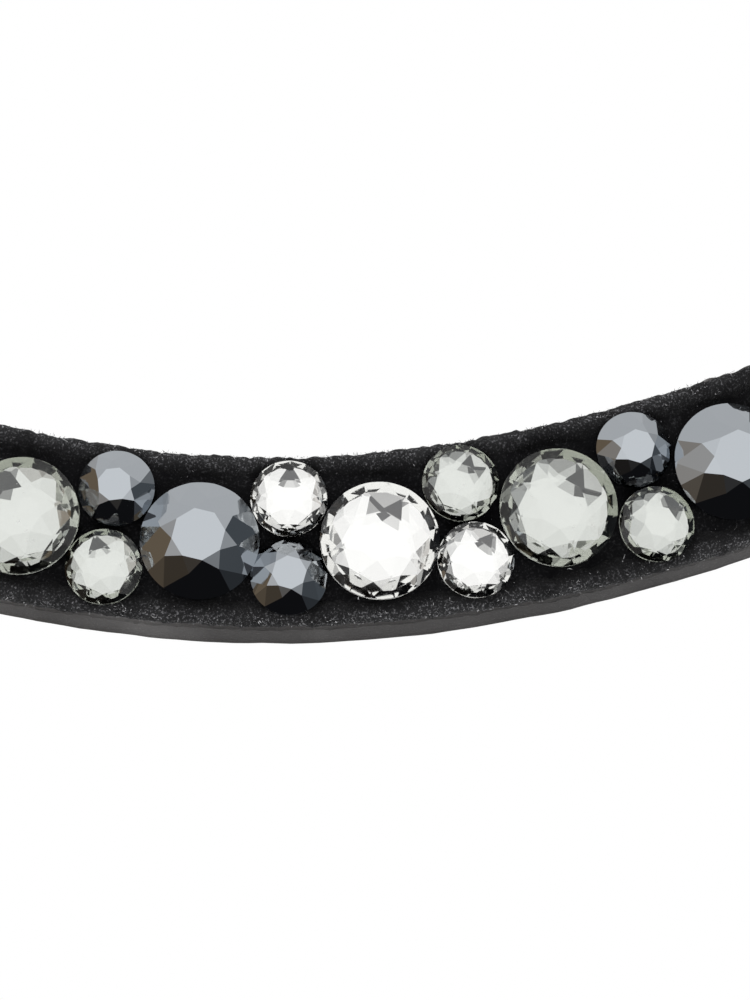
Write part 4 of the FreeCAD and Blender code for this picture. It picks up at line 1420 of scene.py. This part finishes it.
@dataclass
class Noseband:
    """The cavesson noseband and the headstrap that it hangs from."""

    finishes: Finishes
    line: NoseLine
    height: float = 30.0
    pad_thick: float = 5.0
    leather_thick: float = 3.5
    pad_reach: float = 118.0
    stitch_half: float = 12.4
    stitch_reach: float = 137.0

    def pad(self) -> None:
        """The nosepiece's pad: soft leather over foam."""
        bm = stuffed_strip(self.line.at, self.pad_reach, self.height / 2, self.pad_thick)
        roughen(bm, 0.3, 8.0, 6.0)
        piece = new_object("nosepiece_pad_stuffed", bm, 60.0)
        settle(piece, self.finishes.padding, nodes=["nosepiece_pad"])

    def straps(self) -> None:
        """The leather straps of the noseband."""
        nose = ("nosepiece_leather", "jaw_chape", "jaw_strap", "jaw_splice")
        for node in (*nose, "noseband_hanger", "noseband_point"):
            piece = softened(node, 0.7, 3)
            settle(piece, self.finishes.leather, nodes=[node])

    def stitches(self) -> None:
        """Two rows of stitching round the nosepiece."""
        rows = Stitching(self.finishes)
        face = self.pad_thick + self.leather_thick + 0.15
        for across in (-self.stitch_half, self.stitch_half):
            rows.row(self.line.at, -self.stitch_reach, self.stitch_reach, across, face)
        rows.build("noseband_stitching")

    def build(self) -> None:
        """Builds the noseband."""
        self.pad()
        self.straps()
        self.stitches()


@dataclass
class Fastenings:
    """Every buckle with its tongue, keeper and runner, and the cheekpieces' hook studs."""

    finishes: Finishes

    def build(self) -> None:
        """Builds the fastenings."""
        pairs = [(strap, side) for strap in ("cheek", "throat") for side, _ in SIDES]
        for strap, side in (*pairs, ("jaw", "left"), ("hanger", "left")):
            frame = f"{strap}_buckle_{side}"
            settle(softened(frame, 0.0), self.finishes.steel, nodes=[frame])
            tongue = f"{strap}_tongue_{side}"
            settle(softened(tongue, 0.25, 2), self.finishes.steel, tongue, [tongue])
            keeper = f"{strap}_keeper_{side}"
            settle(softened(keeper, 0.45, 3), self.finishes.keeper, nodes=[keeper])
            runner = f"{strap}_runner_{side}"
            settle(softened(runner, 0.45, 3), self.finishes.keeper, runner, [runner])
        for word, _ in SIDES:
            stud = f"hook_stud_{word}"
            settle(softened(stud, 0.2, 2), self.finishes.steel, nodes=[stud])


@dataclass
class Bit:
    """The loose-ring snaffle: two rings, two cannons and a lozenge."""

    finishes: Finishes

    def build(self) -> None:
        """Builds the bit."""
        for word, _ in SIDES:
            ring = f"bit_ring_{word}"
            settle(softened(ring, 0.0), self.finishes.steel, ring, [ring])
            cannon = f"cannon_{word}"
            settle(softened(cannon, 0.0), self.finishes.steel, "mouthpiece", [cannon])
        settle(softened("lozenge", 0.7, 3), self.finishes.alloy, "lozenge", ["lozenge"])


# The studio -----------------------------------------------------------------------------------


@dataclass
class Studio:
    """A white studio: pale floor, broad soft light and the camera close on the browband."""

    line: BrowLine
    floor_radius: float = 4500.0
    floor_gap: float = 12.0
    glow_near: float = 800.0
    focal: float = 200.0
    sensor: float = 36.0
    view_height: float = 92.8
    elevation: float = -1.5
    roll: float = 0.5
    aim_place: float = 10.5
    aim_shift: float = -0.37
    aim_rise: float = 3.34

    def world(self) -> None:
        """White to the eye. To the rest, a soft dome overhead, dim sides and a dark spot in front."""
        world = bpy.data.worlds.new("studio")
        bpy.context.scene.world = world
        world.use_nodes = True
        tree = world.node_tree
        tree.nodes.clear()
        way = add_node(tree, "ShaderNodeTexCoord").outputs["Generated"]
        parts = add_node(tree, "ShaderNodeSeparateXYZ", {0: way}).outputs
        # the dome leans forward by 15 degrees, and is white over the front and greyer behind
        overhead = add_node(
            tree, "ShaderNodeVectorMath", {0: way, 1: (0.0, -0.259, 0.966)}, operation="DOT_PRODUCT"
        ).outputs["Value"]
        dome = add_node(tree, "ShaderNodeMapRange", {"Value": overhead, 1: 0.42, 2: 0.60}).outputs[0]
        grey = add_node(
            tree, "ShaderNodeMapRange", {"Value": parts["Y"], 1: -0.85, 2: -0.3, 3: 1.0, 4: 0.66}
        ).outputs[0]
        white = add_node(tree, "ShaderNodeCombineColor", {0: grey, 1: grey, 2: grey}).outputs[0]
        # the front is lit down to a little below level, round a dark spot where the camera stands
        ahead = add_node(
            tree, "ShaderNodeVectorMath", {0: way, 1: (0.0, -1.0, -0.03)}, operation="DOT_PRODUCT"
        ).outputs["Value"]
        front = add_node(tree, "ShaderNodeMapRange", {"Value": ahead, 1: 0.35, 2: 0.75}).outputs[0]
        level = add_node(tree, "ShaderNodeMapRange", {"Value": parts["Z"], 1: -0.55, 2: -0.2}).outputs[0]
        facing = add_node(tree, "ShaderNodeMath", {0: front, 1: level}, operation="MULTIPLY").outputs[0]
        spot = add_node(tree, "ShaderNodeMapRange", {"Value": ahead, 1: 0.960, 2: 0.982}).outputs[0]
        # the sides are dim, brownish on the right and bluish on the left, and it is black underneath
        across = add_node(tree, "ShaderNodeMapRange", {"Value": parts["X"], 1: -0.6, 2: 0.4}).outputs[0]
        sides = add_node(
            tree, "ShaderNodeMix", {0: across, 6: (0.20, 0.15, 0.10, 1), 7: (0.09, 0.10, 0.11, 1)},
            data_type="RGBA",
        ).outputs[2]
        lower = add_node(tree, "ShaderNodeMapRange", {"Value": parts["Z"], 1: -0.75, 2: -0.3}).outputs[0]
        dim = add_node(
            tree, "ShaderNodeMix", {0: lower, 6: (0.008, 0.008, 0.009, 1), 7: sides}, data_type="RGBA"
        ).outputs[2]
        lit = add_node(tree, "ShaderNodeMath", {0: dome, 1: facing}, operation="MAXIMUM").outputs[0]
        bright = add_node(tree, "ShaderNodeMix", {0: lit, 6: dim, 7: white}, data_type="RGBA").outputs[2]
        light = add_node(
            tree, "ShaderNodeMix", {0: spot, 6: bright, 7: (0.14, 0.14, 0.145, 1)}, data_type="RGBA"
        ).outputs[2]
        seen = add_node(tree, "ShaderNodeLightPath").outputs["Is Camera Ray"]
        shown = add_node(tree, "ShaderNodeBackground", {"Color": light, "Strength": 1.15}).outputs[0]
        plain = add_node(tree, "ShaderNodeBackground", {"Color": (1, 1, 1, 1), "Strength": 1.0}).outputs[0]
        mixed = add_node(tree, "ShaderNodeMixShader", {0: seen, 1: shown, 2: plain}).outputs[0]
        add_node(tree, "ShaderNodeOutputWorld", {"Surface": mixed})

    def floor(self, low: float) -> None:
        """Lays a pale floor.

        Args:
            low: Its level, just below the hanging bridle.
        """
        bm = bmesh.new()
        bmesh.ops.create_circle(bm, cap_ends=True, segments=96, radius=self.floor_radius)
        bmesh.ops.translate(bm, verts=bm.verts, vec=Vector((0, 0, low)))
        piece = new_object("studio_floor", bm)
        # painted board: matt, with a painted glow, an emission that grows brighter outward until it meets
        # the white beyond it
        made, tree, shader, spot = blank("pale_floor")
        shader.inputs["Base Color"].default_value = linear("f4f4f3")
        shader.inputs["Roughness"].default_value = 0.8
        away = add_node(tree, "ShaderNodeVectorMath", {0: spot}, operation="LENGTH").outputs["Value"]
        near, far = self.glow_near * MM, self.floor_radius * 0.7 * MM
        share = add_node(tree, "ShaderNodeMapRange", {"Value": away, 1: near, 2: far}).outputs[0]
        glow = add_node(tree, "ShaderNodeEmission", {"Color": (1, 1, 1, 1), "Strength": 1.0}).outputs[0]
        mixed = add_node(tree, "ShaderNodeMixShader", {0: share, 1: shader.outputs[0], 2: glow})
        tree.links.new(mixed.outputs[0], tree.nodes["Material Output"].inputs["Surface"])
        piece.data.materials.append(made)
        piece.visible_glossy = False
        piece.visible_transmission = False
        piece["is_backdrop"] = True

    def lamp(self, name: str, place: Vector, target: Vector, size: float, power: float) -> None:
        """Hangs a square soft light, which mirrors and crystal don't show.

        Args:
            name: The light's name.
            place: Where it hangs, in millimetres.
            target: The point that it faces.
            size: The length of its side.
            power: Its power in watts.
        """
        data = bpy.data.lights.new(name, "AREA")
        data.size = size * MM
        data.energy = power
        lamp = bpy.data.objects.new(name, data)
        lamp.location = place * MM
        lamp.rotation_euler = (target - place).to_track_quat("-Z", "Y").to_euler()
        lamp.visible_glossy = False
        lamp.visible_transmission = False
        bpy.context.scene.collection.objects.link(lamp)

    def camera(self) -> None:
        """The long-lens camera, a little below the browband and square to its front."""
        frame = self.line.at(self.aim_place)
        rise = math.radians(self.elevation)
        away = Vector((0, -math.cos(rise), math.sin(rise)))
        up = Vector((0, math.sin(rise), math.cos(rise)))
        target = frame.at(0.0, 5.4) + up * self.aim_rise + Vector((self.aim_shift, 0, 0))
        distance = self.view_height * self.focal / self.sensor
        data = bpy.data.cameras.new("close_view")
        data.lens = self.focal
        data.sensor_width = self.sensor
        data.sensor_fit = "AUTO"
        data.clip_start = 0.01
        data.clip_end = 20.0
        camera = bpy.data.objects.new("close_view", data)
        camera.location = (target + away * distance) * MM
        turn = (-away).to_track_quat("-Z", "Y") @ Quaternion((0, 0, 1), math.radians(self.roll))
        camera.rotation_euler = turn.to_euler()
        bpy.context.scene.collection.objects.link(camera)
        bpy.context.scene.camera = camera

    def build(self, low: float) -> None:
        """Builds the studio round the bridle.

        Args:
            low: The level of the bridle's lowest point.
        """
        self.world()
        self.floor(low - self.floor_gap)
        middle = self.line.at(0.0).point
        self.lamp("overhead_softbox", middle + Vector((-250, -350, 650)), middle, 500.0, 7.0)
        self.lamp("low_reflector", middle + Vector((60, -420, -330)), middle, 260.0, 3.0)
        self.camera()
        scene = bpy.context.scene
        scene.view_settings.view_transform = "Standard"
        scene.view_settings.look = "None"


def main() -> None:
    """Builds the bridle in order round the frame and reports each piece."""
    logging.basicConfig(level=logging.INFO, format="%(message)s")
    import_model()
    loop_low, loop_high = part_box("browband_loop_left")
    lining_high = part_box("browband_lining")[1]
    brow = BrowLine(
        half_width=loop_high.x / MM + LOOP_INSET,
        level=(loop_low.z + loop_high.z) / 2 / MM,
        side_end=lining_high.y / MM + LINING_INSET,
    )
    nose_low, nose_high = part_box("nosepiece_leather")
    nose = NoseLine(front=nose_low.y / MM + NOSE_DEPTH, level=(nose_low.z + nose_high.z) / 2 / MM)
    finishes = Finishes.make()
    Studio(brow).build(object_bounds()[0][2] / MM)
    Browband(finishes, brow).build()
    Headpiece(finishes).build()
    Noseband(finishes, nose).build()
    Fastenings(finishes).build()
    Bit(finishes).build()


if __name__ == "__main__":
    main()
